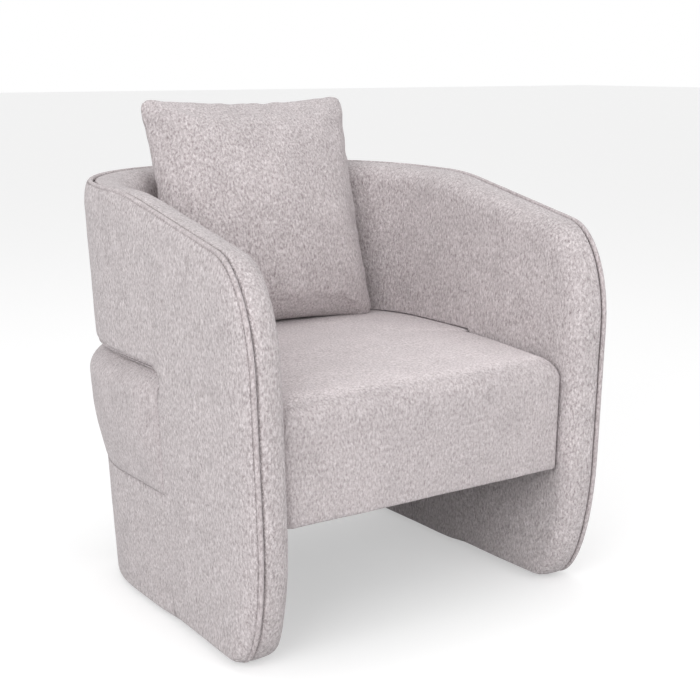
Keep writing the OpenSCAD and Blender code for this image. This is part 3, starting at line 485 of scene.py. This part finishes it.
TURN_IN_FROM, TURN_IN_INSET = 0.36, swell_levels[0][1]
turn_in_depths = (0.0035, 0.014, 0.027, 0.040)
turn_in_spots = [spot for spot in lower_edge(BAND, WINDOW_CORNER, LOW_SHARE) if spot[2] > TURN_IN_FROM]
turn_in_points, turn_in_faces = [], []
for u, turn, z, run, rise, _ in turn_in_spots:
    for depth in turn_in_depths:
        x, v = plan(u + run * TURN_IN_INSET, turn, depth)
        turn_in_points.append(place(x, v, z + rise * TURN_IN_INSET))
count = len(turn_in_depths)
for i in range(len(turn_in_spots) - 1):
    for k in range(count - 1):
        a = i * count + k
        turn_in_faces.append((a, a + 1, a + count + 1, a + count))
turn_in = give_thickness(solid_piece("cover_turn_in", turn_in_points, turn_in_faces, chenille,
                                     both_sides=True), 0.0016)
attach(turn_in, "chair")

# Inner cover with its padding: foam over the frame, covered with the same chenille. A flat border
# strip tops the wall behind the piping, and the soft inner edge rolls over into the inner face.

BORDER_DROP, SOFT, SOFT_STEPS = 0.00225, 0.033, 8
# The border strip's hem and top, then the rounded inner edge
border_levels = [(0.0160, 0.0115, 0, 0.0030, 0.025), (0.0200, 0.0052, 0, 0.0022, 0.021),
                 (0.0218, 0.0030, 0, 0.0014, 0.016), (0.0240, 0.0019, 0, 0.0008, 0.010),
                 (0.0290, 0.0012, 0, 0.0003, 0.006), (0.0350, 0.0013, 0, 0.0001, 0.002)]
for step in range(SOFT_STEPS + 1):
    a = 90 * step / SOFT_STEPS
    border_levels.append((WALL - SOFT + SOFT * sin(a), BORDER_DROP + SOFT * (1 - cos(a)), 0))
# The inner face comes down on the seat, so no window shows inside.
INNER_BAND, INNER_CORNER, INNER_SHARE = 0.4442, 0.004, 0.12
inner_points, inner_faces = skin(border_levels, WALL, ROWS,
                                 lower_edge(INNER_BAND, INNER_CORNER, INNER_SHARE))
inner_skin = solid_piece("inner_skin", inner_points, inner_faces, chenille, both_sides=True,
                         outward=((0.29, -0.1, 0.6), (-1, 0, 0)))
ruffle(inner_skin, *RUFFLE)
give_thickness(inner_skin)
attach(inner_skin, "chair")
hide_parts("inner_cover", "arm_foam_left", "arm_foam_right", "back_foam")

# Piping: a cord in a bias strip of the chenille, sewn in between the outer cover and the border
# strip, from one arm's underside over both arms and the back to the other's. The machine seams
# lie in the grooves on both sides of it.

PIPE, PIPE_DEPTH, PIPE_DROP, PIPE_START = 0.0045, 0.0131, 0.0045, 0.272
LINE_STEPS = 30


def edge_line(level, start):
    """A line along the shell's whole edge at one level, from one underside to the other."""
    # The outer face's foot bulge doesn't reach the piping.
    spots = [(u, 0, CLEAR, 0, 1, 1) for u in until(start, FOOT_RUN, LINE_STEPS)]
    for u, z, run, rise in (foot_corner(a) for a in until(90, 0, 2 * LINE_STEPS)):
        spots.append((u, 0, z, run, rise, 1))
    spots += [(0, 0, z, 1, 0, 1) for z in until(CLEAR + FOOT_RISE, CORNER_BASE, LINE_STEPS)]
    spots += upper_edge()
    half = [spot_place(spot, level, level[0])[0] for spot in spots]
    return half + [Vector((-p[0], p[1], p[2])) for p in reversed(half[:-1])]


def line_piece(name, line):
    mesh = bpy.data.meshes.new(name)
    mesh.from_pydata([tuple(p) for p in line], [(i, i + 1) for i in range(len(line) - 1)], [])
    piece = bpy.data.objects.new(name, mesh)
    bpy.context.scene.collection.objects.link(piece)
    return piece


def growth(name, inputs):
    tree = bpy.data.node_groups.new(name, "GeometryNodeTree")
    tree.interface.new_socket(name="Geometry", in_out="INPUT", socket_type="NodeSocketGeometry")
    for label, kind in inputs:
        tree.interface.new_socket(name=label, in_out="INPUT", socket_type=kind)
    tree.interface.new_socket(name="Geometry", in_out="OUTPUT", socket_type="NodeSocketGeometry")
    return tree, tree.nodes.new("NodeGroupInput").outputs, tree.nodes.new("NodeGroupOutput").inputs


def grow(piece, tree, values):
    """Runs a tree on a line with its inputs set, and keeps the result as a plain mesh."""
    modifier = piece.modifiers.new("growth", "NODES")
    modifier.node_group = tree
    for socket in tree.interface.items_tree:
        if socket.in_out == "INPUT" and socket.name in values:
            modifier[socket.identifier] = values[socket.name]
    settle(piece)
    for face in piece.data.polygons:
        face.use_smooth = True
    return piece


def end_growth(tree, grown, surface, out):
    whole = add(tree, "GeometryNodeRealizeInstances", {"Geometry": grown.outputs[0]})
    dressed = add(tree, "GeometryNodeSetMaterial", {"Geometry": whole.outputs[0], "Material": surface})
    tree.links.new(dressed.outputs[0], out["Geometry"])


cord_tree, given, out = growth("piping cord", [
    ("Radius", "NodeSocketFloat"), ("Unevenness", "NodeSocketFloat"), ("Cloth", "NodeSocketMaterial")])
profile = add(cord_tree, "GeometryNodeCurvePrimitiveCircle", {"Resolution": 14, "Radius": given["Radius"]})
run = add(cord_tree, "GeometryNodeMeshToCurve", {"Mesh": given["Geometry"]})
tube = add(cord_tree, "GeometryNodeCurveToMesh", {
    "Curve": run.outputs["Curve"], "Profile Curve": profile.outputs["Curve"], "Fill Caps": True})
lumps = add(cord_tree, "ShaderNodeTexNoise", {"Scale": 130.0, "Detail": 1.0}).outputs[0]
lump_reach = worked(cord_tree, "MULTIPLY", worked(cord_tree, "SUBTRACT", lumps, 0.5), given["Unevenness"])
push_out = add(cord_tree, "ShaderNodeVectorMath", {
    0: add(cord_tree, "GeometryNodeInputNormal").outputs[0], "Scale": lump_reach}, operation="SCALE")
uneven = add(cord_tree, "GeometryNodeSetPosition", {
    "Geometry": tube.outputs["Mesh"], "Offset": push_out.outputs[0]})
end_growth(cord_tree, uneven, given["Cloth"], out)

piping_cloth = finish("chenille bias strip", nap, {
    "Base": (0.450, 0.397, 0.401, 1), "Dark": (0.225, 0.186, 0.190, 1), "Light": (0.68, 0.625, 0.633, 1),
    "Scale": 275.0, "Flecks": 0.25, "Clouds": 0.05}, 0.7, 0.0018, **soft_gloss)
welt = grow(line_piece("edge_piping", edge_line((PIPE_DEPTH, PIPE_DROP, 0), PIPE_START)), cord_tree,
            {"Radius": PIPE, "Unevenness": 0.0006, "Cloth": piping_cloth})
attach(welt, "chair")
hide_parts("piping")

stitch_tree, given, out = growth("stitch row", [
    ("Spacing", "NodeSocketFloat"), ("Length", "NodeSocketFloat"), ("Thickness", "NodeSocketFloat"),
    ("Seed", "NodeSocketInt"), ("Thread", "NodeSocketMaterial")])
run = add(stitch_tree, "GeometryNodeMeshToCurve", {"Mesh": given["Geometry"]})
holes = add(stitch_tree, "GeometryNodeCurveToPoints", {
    "Curve": run.outputs["Curve"], "Length": given["Spacing"]}, mode="LENGTH")
bead = add(stitch_tree, "GeometryNodeMeshUVSphere", {"Segments": 6, "Rings": 5, "Radius": 0.5})
facing = add(stitch_tree, "FunctionNodeAlignRotationToVector", {"Vector": holes.outputs["Tangent"]},
             axis="X")
varied = add(stitch_tree, "FunctionNodeRandomValue", {2: 0.8, 3: 1.15, "Seed": given["Seed"]})
long_side = worked(stitch_tree, "MULTIPLY", given["Length"], varied.outputs[1])
bead_size = add(stitch_tree, "ShaderNodeCombineXYZ", {
    0: long_side, 1: given["Thickness"], 2: given["Thickness"]}).outputs[0]
sewn = add(stitch_tree, "GeometryNodeInstanceOnPoints", {
    "Points": holes.outputs["Points"], "Instance": bead.outputs["Mesh"],
    "Rotation": facing.outputs[0], "Scale": bead_size})
end_growth(stitch_tree, sewn, given["Thread"], out)

thread = finish("brown grey thread", fibre_mat, {
    "Light": (0.40, 0.35, 0.35, 1), "Dark": (0.29, 0.245, 0.245, 1), "Fleck": (0.45, 0.40, 0.40, 1),
    "Scale": 2600.0}, 0.4, 0.0002)
SEAM_START = 0.262
for name, level, seed in (("outer_seam", (0.0078, 0.0055, 0), 3),
                          ("border_seam", (0.0209, 0.0035, 0), 8)):
    seam = grow(line_piece(name, edge_line(level, SEAM_START)), stitch_tree, {
        "Spacing": 0.0062, "Length": 0.0040, "Thickness": 0.0012, "Seed": seed, "Thread": thread})
    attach(seam, "chair")

# Legs: the arms' lower ends run on backwards under the seat as two slim curved legs. Each is a
# plywood box wrapped in foam and the same chenille, drawn over at the floor and closed below.

# The gap between arm, leg and seat, and the wall's inner face, measured from the chair's middle
GAP, INNER = 0.0003, HALF - WALL
LEG_FRONT, LEG_ROOF, LEG_TIP, LEG_EDGE, LEG_BLEND = WINDOW + GAP, SEAT_LOW - GAP, 0.012, 0.009, 0.055
# Two heights near the floor, up to which the arm's floor edge is rounded inside and outside
INNER_ROUND, OUTER_ROUND = 0.0115, 0.0150


def leg_inset(d, x, u, z):
    """How deep a leg's side lies at its front, where it takes over the arm's rounded floor edge."""
    share = max(0.0, 1 - (u - LEG_FRONT) / LEG_BLEND) ** 2
    rise = (z - CLEAR) / LOW_SHARE
    if x > HALF - WALL / 2:
        height = min(1.0, max(0.0, 1 - rise / SWELL_RUN))
        front = SWELL_DEPTH * (1 - max(cos(SEAM_TURN), (1 - height * height) ** 0.5))
    else:
        height = min(1.0, max(0.0, 1 - (rise - BORDER_DROP) / SOFT))
        front = SOFT * (1 - (1 - height * height) ** 0.5)
    return (front - d) * share


def leg_loop(d, z):
    # Back along the outer face, round the narrow tip and forward along the inner face. The close
    # steps at the front keep its edge crisp beside the arm.
    inside = INNER + d
    close = [LEG_FRONT, LEG_FRONT + 0.0004, LEG_FRONT + 0.0012]
    turn_end = math.degrees(math.acos(((inside + LEG_TIP) / (HALF - d)) ** (1 / PLAN_CURVE)))
    outer = [(HALF - d, u) for u in close + between(LEG_FRONT, SIDE, 14)]
    outer += [plan(SIDE, turn, d) for turn in between(0, turn_end, 24)]
    end = outer[-1][1]
    tip = [(inside + LEG_TIP * 0.55, end + 0.0025), (inside + LEG_TIP * 0.2, end + 0.0005)]
    rear = end - 0.005
    inner = [(inside, u) for u in until(rear, LEG_FRONT, 30) + close[::-1]]
    return ([place(x - leg_inset(d, x, u, z), u, z) for x, u in outer + tip]
            + [place(x + leg_inset(d, x, u, z), u, z) for x, u in inner])


def stacked(loops, closed=(0, -1)):
    """Points and faces through a stack of loops. The loops in closed are filled by a fan."""
    count = len(loops[0])
    points = [p for loop in loops for p in loop]
    faces = [(k * count + i, k * count + (i + 1) % count, (k + 1) * count + (i + 1) % count,
              (k + 1) * count + i) for k in range(len(loops) - 1) for i in range(count)]
    for k in closed:
        start = k % len(loops) * count
        points.append(sum(loops[k], Vector()) / count)
        faces += [(start + i, start + (i + 1) % count, len(points) - 1) for i in range(count)]
    return points, faces


def ladder(loops):
    """Closes a stack's ends with rungs between the loop's two long sides."""
    points, faces = stacked(loops, closed=())
    count = len(loops[0])
    for start in (0, (len(loops) - 1) * count):
        faces += [(start + i, start + i + 1, start + count - 2 - i, start + count - 1 - i)
                  for i in range(count // 2 - 1)]
    return points, faces


leg_levels = [(LEG_EDGE * (1 - sin(b)), CLEAR + LEG_EDGE * (1 - cos(b))) for b in (0, 18, 36, 54, 72, 90)]
leg_levels += [(0, CLEAR + INNER_ROUND), (0, CLEAR + OUTER_ROUND)]
leg_levels += [(0, z) for z in between(CLEAR + OUTER_ROUND, LEG_ROOF, 23)]
leg_points, leg_faces = ladder([leg_loop(d, z) for d, z in leg_levels])
for side, hand in ((1, "right"), (-1, "left")):
    leg = solid_piece("leg_" + hand, [Vector((side * p[0], p[1], p[2])) for p in leg_points],
                      leg_faces, chenille)
    ruffle(leg, *RUFFLE)
    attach(leg, "chair")
    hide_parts("leg_cover_" + hand, "leg_foam_" + hand)

# Seat: thick foam on the spring felt, wrapped with foam round the box, under one fitted cover
# whose top, front and drum show no seams. It fills the space between the arms and swells out
# through both windows.

SEAT_TOP, CROWN, SETBACK, SEAT_EDGE, DRUM_SWELL = 0.442, 0.014, 0.032, 0.044, 0.016
# Behind JOG the seat widens from between the arms to the drum.
SEAT_INNER, JOG, SEAT_CORNER = INNER - 0.001, WINDOW + 0.001, 0.014
SEAT_MIDDLE, SEAT_EDGE_LOW = (SETBACK + DEPTH) / 2, SEAT_TOP - SEAT_EDGE
# The drum swells out over this run behind the window's front edge and this share of its height.
DRUM_RUN, DRUM_SHARE = 0.067, 0.667
DRUM_STEPS, EDGE_STEPS, TOP_STEPS = 16, 10, 25


def seat_half(d, swell):
    # From the middle of the front round its corner, back inside the arm, out into the window,
    # along the drum and round to the middle of the back
    across, front = SEAT_INNER - d - SEAT_CORNER, SETBACK + d
    line = [(0, front)] + [(x, front) for x in between(0, across, 29)]
    line += [(across + SEAT_CORNER * sin(a), front + SEAT_CORNER * (1 - cos(a))) for a in between(0, 90, 6)]
    # The rounded edge runs out towards the back, where the top passes under the arm's padding.
    start, jog = front + SEAT_CORNER, JOG + d * 0.1
    line += [(SEAT_INNER - d * (1 - share) ** 1.5, start + (jog - start) * share)
             for share in between(0, 1, 22)]
    line += [(x, jog) for x in between(SEAT_INNER, HALF - d - GAP, 6)]
    line += [(HALF - d + swell * sin(90 * min(1.0, run / DRUM_RUN)) ** 0.8, jog + run)
             for run in between(0, SIDE - jog, 18)]
    return line + [plan(SIDE, turn, d - swell) for turn in between(0, 90, TURN_STEPS)]


def seat_loop(d, swell, z, share=1.0):
    half = seat_half(d, swell)
    whole = half + [(-x, u) for x, u in reversed(half[1:-1])]
    return [place(x * share, SEAT_MIDDLE + (u - SEAT_MIDDLE) * share, z) for x, u in whole]


def seat_swell(share):
    return DRUM_SWELL * (1 - max(0.0, 1 - share / DRUM_SHARE) ** 1.35)


# The underside's edge, the drum, the rounded upper edge and the crowned top
seat_loops = [seat_loop(d, 0, SEAT_LOW + rise) for d, rise in (
    (0.034, 0.0006), (0.006, 0.0004), (0.0018, 0.0012), (0, 0.004))]
for share in between(0, 1, DRUM_STEPS):
    seat_loops.append(seat_loop(0, seat_swell(share), SEAT_LOW + (SEAT_EDGE_LOW - SEAT_LOW) * share))
for a in between(0, 90, EDGE_STEPS):
    seat_loops.append(seat_loop(SEAT_EDGE * (1 - cos(a)), DRUM_SWELL, SEAT_EDGE_LOW + SEAT_EDGE * sin(a)))
for share in between(1, 0, TOP_STEPS)[:-1]:
    seat_loops.append(seat_loop(SEAT_EDGE, DRUM_SWELL, SEAT_TOP + CROWN * (1 - share * share), share))
# The seat's cover has painted top light: its top, where faces point up, is given a lighter colour through
# the group's top light input.
seat_chenille = finish("warm grey chenille with painted top light", nap, {
    "Base": (0.480, 0.427, 0.432, 1), "Dark": (0.255, 0.214, 0.219, 1), "Light": (0.700, 0.648, 0.658, 1),
    "Scale": 275.0, "Flecks": 0.3, "Clouds": 0.06, "Lift": 0.30}, 0.8, 0.0024, **soft_gloss)
seat = solid_piece("seat", *stacked(seat_loops), seat_chenille, outward=((0, 0, 0.456), (0, 0, 1)))
ruffle(seat, *RUFFLE)
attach(seat, "chair")
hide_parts("seat_cover", "seat_foam", "box_foam")

# Gap roll: a narrow covered roll of foam that closes the gap between the seat and the back.

ROLL_START, ROLL_STEPS = LEG_FRONT + 0.003, 12
ROLL_DEPTH, ROLL_HEIGHT, ROLL_ACROSS, ROLL_UP = 0.052, 0.4545, 0.019, 0.0092
roll_spots = [(u, 0) for u in [ROLL_START] + between(ROLL_START, SIDE, ROLL_STEPS)]
roll_spots += [(SIDE, turn) for turn in between(0, 90, TURN_STEPS)]


def roll_ring(u, turn):
    ring = []
    for i in range(ROLL_STEPS):
        a = 2 * math.pi * i / ROLL_STEPS
        x, v = plan(u, turn, ROLL_DEPTH + ROLL_ACROSS * math.cos(a))
        ring.append(place(x, v, ROLL_HEIGHT + ROLL_UP * math.sin(a)))
    return ring


half_roll = [roll_ring(*spot) for spot in roll_spots]
roll_rings = half_roll + [[Vector((-p[0], p[1], p[2])) for p in ring] for ring in reversed(half_roll[:-1])]
gap_roll = solid_piece("gap_roll", *stacked(roll_rings), chenille)
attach(gap_roll, "chair")
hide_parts("back_gap_roll")

# Dust cloth: thin black non-woven cloth stapled over the underside of the seat box. It sags a
# little between the staples. The steel staples run all round its edge.

cloth_black = finish("black non-woven cloth", fibre_mat, {
    "Light": (0.020, 0.019, 0.021, 1), "Dark": (0.010, 0.009, 0.011, 1), "Fleck": (0.035, 0.034, 0.036, 1),
    "Scale": 900.0}, 0.5, 0.0004)
CLOTH_INSET, CLOTH_SAG, CLOTH_WAVES, STAPLE_INSET = 0.012, 0.0022, 0.0004, 0.017
cloth_rings = []
for share in until(1, 0, 16):
    ring = seat_loop(CLOTH_INSET, 0, SEAT_LOW + 0.0002, share)
    for p in ring:
        p.z -= CLOTH_SAG * (1 - share * share) + CLOTH_WAVES * noise.noise(p * 30)
    cloth_rings.append(ring)
dust_cloth = solid_piece("dust_cloth", *stacked(cloth_rings, closed=(-1,)), cloth_black,
                         outward=((0, 0, SEAT_LOW), (0, 0, -1)))
give_thickness(dust_cloth, 0.0006)
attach(dust_cloth, "chair")
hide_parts("seat_dust_cloth")

staple_tree, given, out = growth("staple row", [
    ("Spacing", "NodeSocketFloat"), ("Width", "NodeSocketFloat"), ("Wire", "NodeSocketFloat"),
    ("Steel", "NodeSocketMaterial")])
run = add(staple_tree, "GeometryNodeMeshToCurve", {"Mesh": given["Geometry"]})
marks = add(staple_tree, "GeometryNodeCurveToPoints", {
    "Curve": run.outputs["Curve"], "Length": given["Spacing"]}, mode="LENGTH")
crown = add(staple_tree, "GeometryNodeMeshCylinder", {
    "Vertices": 6, "Radius": given["Wire"], "Depth": given["Width"]})
facing = add(staple_tree, "FunctionNodeAlignRotationToVector", {"Vector": marks.outputs["Tangent"]},
             axis="Z")
shot = add(staple_tree, "GeometryNodeInstanceOnPoints", {
    "Points": marks.outputs["Points"], "Instance": crown.outputs["Mesh"], "Rotation": facing.outputs[0]})
end_growth(staple_tree, shot, given["Steel"], out)

zinc = finish("zinc plated steel", metal_marks, {
    "Bright": (0.62, 0.62, 0.63, 1), "Dull": (0.42, 0.42, 0.44, 1), "Smooth": 0.25, "Rough": 0.45},
    0.2, 0.0002, metallic=1.0)
staple_line = seat_loop(STAPLE_INSET, 0, SEAT_LOW - 0.0004)
staples = grow(line_piece("dust_cloth_staples", staple_line + staple_line[:1]), staple_tree, {
    "Spacing": 0.045, "Width": 0.010, "Wire": 0.0005, "Steel": zinc})
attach(staples, "chair")

# Bolts, nuts, glides and screws: zinc plated bolts with pronged nuts join the seat box to the side
# frames and legs, and black plastic glides are screwed under the legs.

dress(zinc, "seat_bolts", "seat_bolt_nuts", "leg_bolts", "glide_screws")
glide_plastic = finish("black glide plastic", metal_marks, {
    "Bright": (0.018, 0.017, 0.019, 1), "Dull": (0.026, 0.025, 0.027, 1), "Smooth": 0.38, "Rough": 0.58,
    "Scale": 300.0}, 0.25, 0.0002)
dress(glide_plastic, "glides_left", "glides_right")

# Loose cushion: a square of the same chenille with a plain knife-edge seam, plump with fibre, its
# sides drawn in between full corners. It stands on the seat and leans on the back.

CUSHION_SIDE, CUSHION_DEPTH, CUSHION_SHIFT, CUSHION_LEAN = 0.456, 0.150, 0.012, 15
CUSHION_SINK, CUSHION_PRESS, CUSHION_STEPS = 0.0099, 0.053, 72
# How much the sides are drawn in and the corners rounded, and how far the filling may press out,
# then how deep the puckers and dents are, and how much the seam wavers
DRAWN_IN, CORNERS_OFF, PRESS_OUT = 0.06, 0.05, 0.010
PUCKERS, DENTS, WAVER = 0.0045, 0.0026, 0.012
cushion_low = SEAT_TOP + CROWN - CUSHION_SINK
cushion_half = CUSHION_SHIFT + CUSHION_SIDE / 2
wide_top = 1 + SPREAD / WIDTH
cushion_turn = math.degrees(math.acos((cushion_half / (INNER * wide_top)) ** (1 / PLAN_CURVE)))
cushion_y = (FRONT + plan(SIDE, cushion_turn, WALL)[1] * (1 + RAKE / DEPTH)
             - (HEIGHT - cushion_low) * math.tan(math.radians(CUSHION_LEAN)) - CUSHION_DEPTH * CUSHION_PRESS)


def cushion_point(e0, e1, face):
    s = max(abs(e0), abs(e1))
    pull = 1 - DRAWN_IN * (1 - min(abs(e0), abs(e1)) ** 2) * s * s
    rounded = 1 - CORNERS_OFF * abs(e0 * e1) ** 16
    fill = max(0.0, (1 - e0 * e0) * (1 - e1 * e1)) ** 0.5
    return Vector((e0 * CUSHION_SIDE / 2 * pull * rounded, face * CUSHION_DEPTH / 2 * fill,
                   e1 * CUSHION_SIDE / 2 * pull * rounded))


# The steps lie closer towards the seam.
cushion_steps = [math.sin(math.pi * (i / CUSHION_STEPS - 0.5)) for i in range(CUSHION_STEPS + 1)]
cushion_points, cushion_faces = [], []
for face in (1, -1):
    first = len(cushion_points)
    cushion_points += [cushion_point(e0, e1, face) for e0 in cushion_steps for e1 in cushion_steps]
    for i in range(CUSHION_STEPS):
        for j in range(CUSHION_STEPS):
            a = first + i * (CUSHION_STEPS + 1) + j
            cushion_faces.append((a, a + 1, a + CUSHION_STEPS + 2, a + CUSHION_STEPS + 1)[::face])
cushion = solid_piece("cushion", cushion_points, cushion_faces, chenille)
stand = (Matrix.Translation((CUSHION_SHIFT, cushion_y, cushion_low))
         @ Matrix.Rotation(math.radians(-CUSHION_LEAN), 4, "X")
         @ Matrix.Translation((0, 0, CUSHION_SIDE / 2)))
# The fibre filling presses the cover out from inside, which gives it its soft unevenness.
calm = [Vector(v.co) for v in cushion.data.vertices]
swelling = cushion.modifiers.new("filling", "CLOTH")
swelling.settings.quality = 5
swelling.settings.use_pressure = True
swelling.settings.uniform_pressure_force = 4
swelling.settings.effector_weights.gravity = 0
swelling.settings.tension_stiffness = 12
swelling.settings.bending_stiffness = 0.3
for frame_number in range(1, 21):
    bpy.context.scene.frame_set(frame_number)
settle(cushion)
bpy.context.scene.frame_set(1)
for vertex, start in zip(cushion.data.vertices, calm):
    moved = Vector(vertex.co) - start
    if moved.length > PRESS_OUT:
        moved *= PRESS_OUT / moved.length
    vertex.co = start + moved
# The filling draws the seams in, so the cover was cut wider to finish at its full size.
for j in (0, 2):
    grown = CUSHION_SIDE / (max(v.co[j] for v in cushion.data.vertices)
                            - min(v.co[j] for v in cushion.data.vertices))
    for vertex in cushion.data.vertices:
        vertex.co[j] *= grown
moved = []
for vertex in cushion.data.vertices:
    # Small puckers run in from the seam, and the flat faces are a little uneven.
    e0, e1 = (vertex.co[j] / (CUSHION_SIDE / 2) for j in (0, 2))
    edge = max(abs(e0), abs(e1))
    along = e1 if abs(e0) > abs(e1) else e0
    pucker = noise.noise(Vector((along * 9, 3.0 if abs(e0) > abs(e1) else 7.0, math.copysign(2, e0 + e1))))
    near = max(0.0, (edge - 0.55) / 0.45) * (1 - max(0.0, (edge - 0.93) / 0.07))
    wave = noise.fractal(vertex.co * 16 + Vector((5, 2, 8)), 1.0, 2.0, 2)
    point = vertex.co + vertex.normal * (PUCKERS * pucker * near + DENTS * wave * max(0, 1 - edge ** 6))
    point.x *= 1 + WAVER * noise.noise(Vector((vertex.co.z * 16, 1.5, 0))) * edge
    point.z *= 1 + WAVER * noise.noise(Vector((vertex.co.x * 16, 9.5, 0))) * edge
    moved.append(point)
cushion.data.vertices.foreach_set("co", [value for point in moved for value in point])
cushion.data.update()
cushion.data.transform(stand)
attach(cushion, "cushion")
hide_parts("cushion_cover", "cushion_filling")

# Floor, lights and camera: a plain pale floor under soft studio light, seen as in the photograph.

floor_mesh = bpy.data.meshes.new("floor")
floor_mesh.from_pydata([(-40, -40, 0), (40, -40, 0), (40, 40, 0), (-40, 40, 0)], [], [(0, 1, 2, 3)])
floor = bpy.data.objects.new("floor", floor_mesh)
bpy.context.scene.collection.objects.link(floor)
pale = bpy.data.materials.new("pale floor")
pale.use_nodes = True
surface = pale.node_tree.nodes["Principled BSDF"].inputs
surface["Base Color"].default_value = (0.62, 0.62, 0.62, 1)
surface["Roughness"].default_value = 0.9
surface["Emission Color"].default_value = (1, 1, 1, 1)
seen = add(pale.node_tree, "ShaderNodeLightPath").outputs["Is Camera Ray"]
pale.node_tree.links.new(ranged(pale.node_tree, seen, 0.0, 1.0, 0.0, 0.42), surface["Emission Strength"])
floor_mesh.materials.append(pale)

sky = bpy.data.worlds.new("studio")
sky.use_nodes = True
sky.node_tree.nodes["Background"].inputs["Color"].default_value = (1, 1, 1, 1)
seen = add(sky.node_tree, "ShaderNodeLightPath").outputs["Is Camera Ray"]
sky.node_tree.links.new(ranged(sky.node_tree, seen, 0.0, 1.0, 0.72, 1.0),
                        sky.node_tree.nodes["Background"].inputs["Strength"])
bpy.context.scene.world = sky


def soft_light(name, spot, target, power, size):
    lamp = bpy.data.lights.new(name, "AREA")
    lamp.energy = power
    lamp.size = size
    holder = bpy.data.objects.new(name, lamp)
    holder.location = spot
    holder.rotation_euler = (Vector(target) - Vector(spot)).to_track_quat("-Z", "Y").to_euler()
    bpy.context.scene.collection.objects.link(holder)


soft_light("key light", (-3.2, -1.9, 1.9), (0, 0, 0.4), 84, 2.4)
soft_light("fill light", (0.6, -3.6, 1.3), (0, 0, 0.4), 38, 2.4)
soft_light("top light", (0.2, 0.3, 3.4), (0, 0, 0.4), 24, 2.6)

FOCAL_PIXELS, PICTURE_PIXELS, SENSOR = 1323.874, 700, 36
yaw, pitch = math.radians(34.738), math.radians(12.258)
ahead = Vector((math.sin(yaw) * math.cos(pitch), math.cos(yaw) * math.cos(pitch), -math.sin(pitch)))
right = Vector((math.cos(yaw), -math.sin(yaw), 0))
above = right.cross(ahead)
eye = bpy.data.cameras.new("camera")
eye.sensor_width = SENSOR
eye.lens = FOCAL_PIXELS * SENSOR / PICTURE_PIXELS
camera = bpy.data.objects.new("camera", eye)
camera.matrix_world = Matrix.Translation((-1.3362, -2.0355, 0.9559)) @ Matrix(
    (right, above, -ahead)).transposed().to_4x4()
bpy.context.scene.collection.objects.link(camera)
bpy.context.scene.camera = camera
bpy.context.scene.view_settings.view_transform = "Standard"
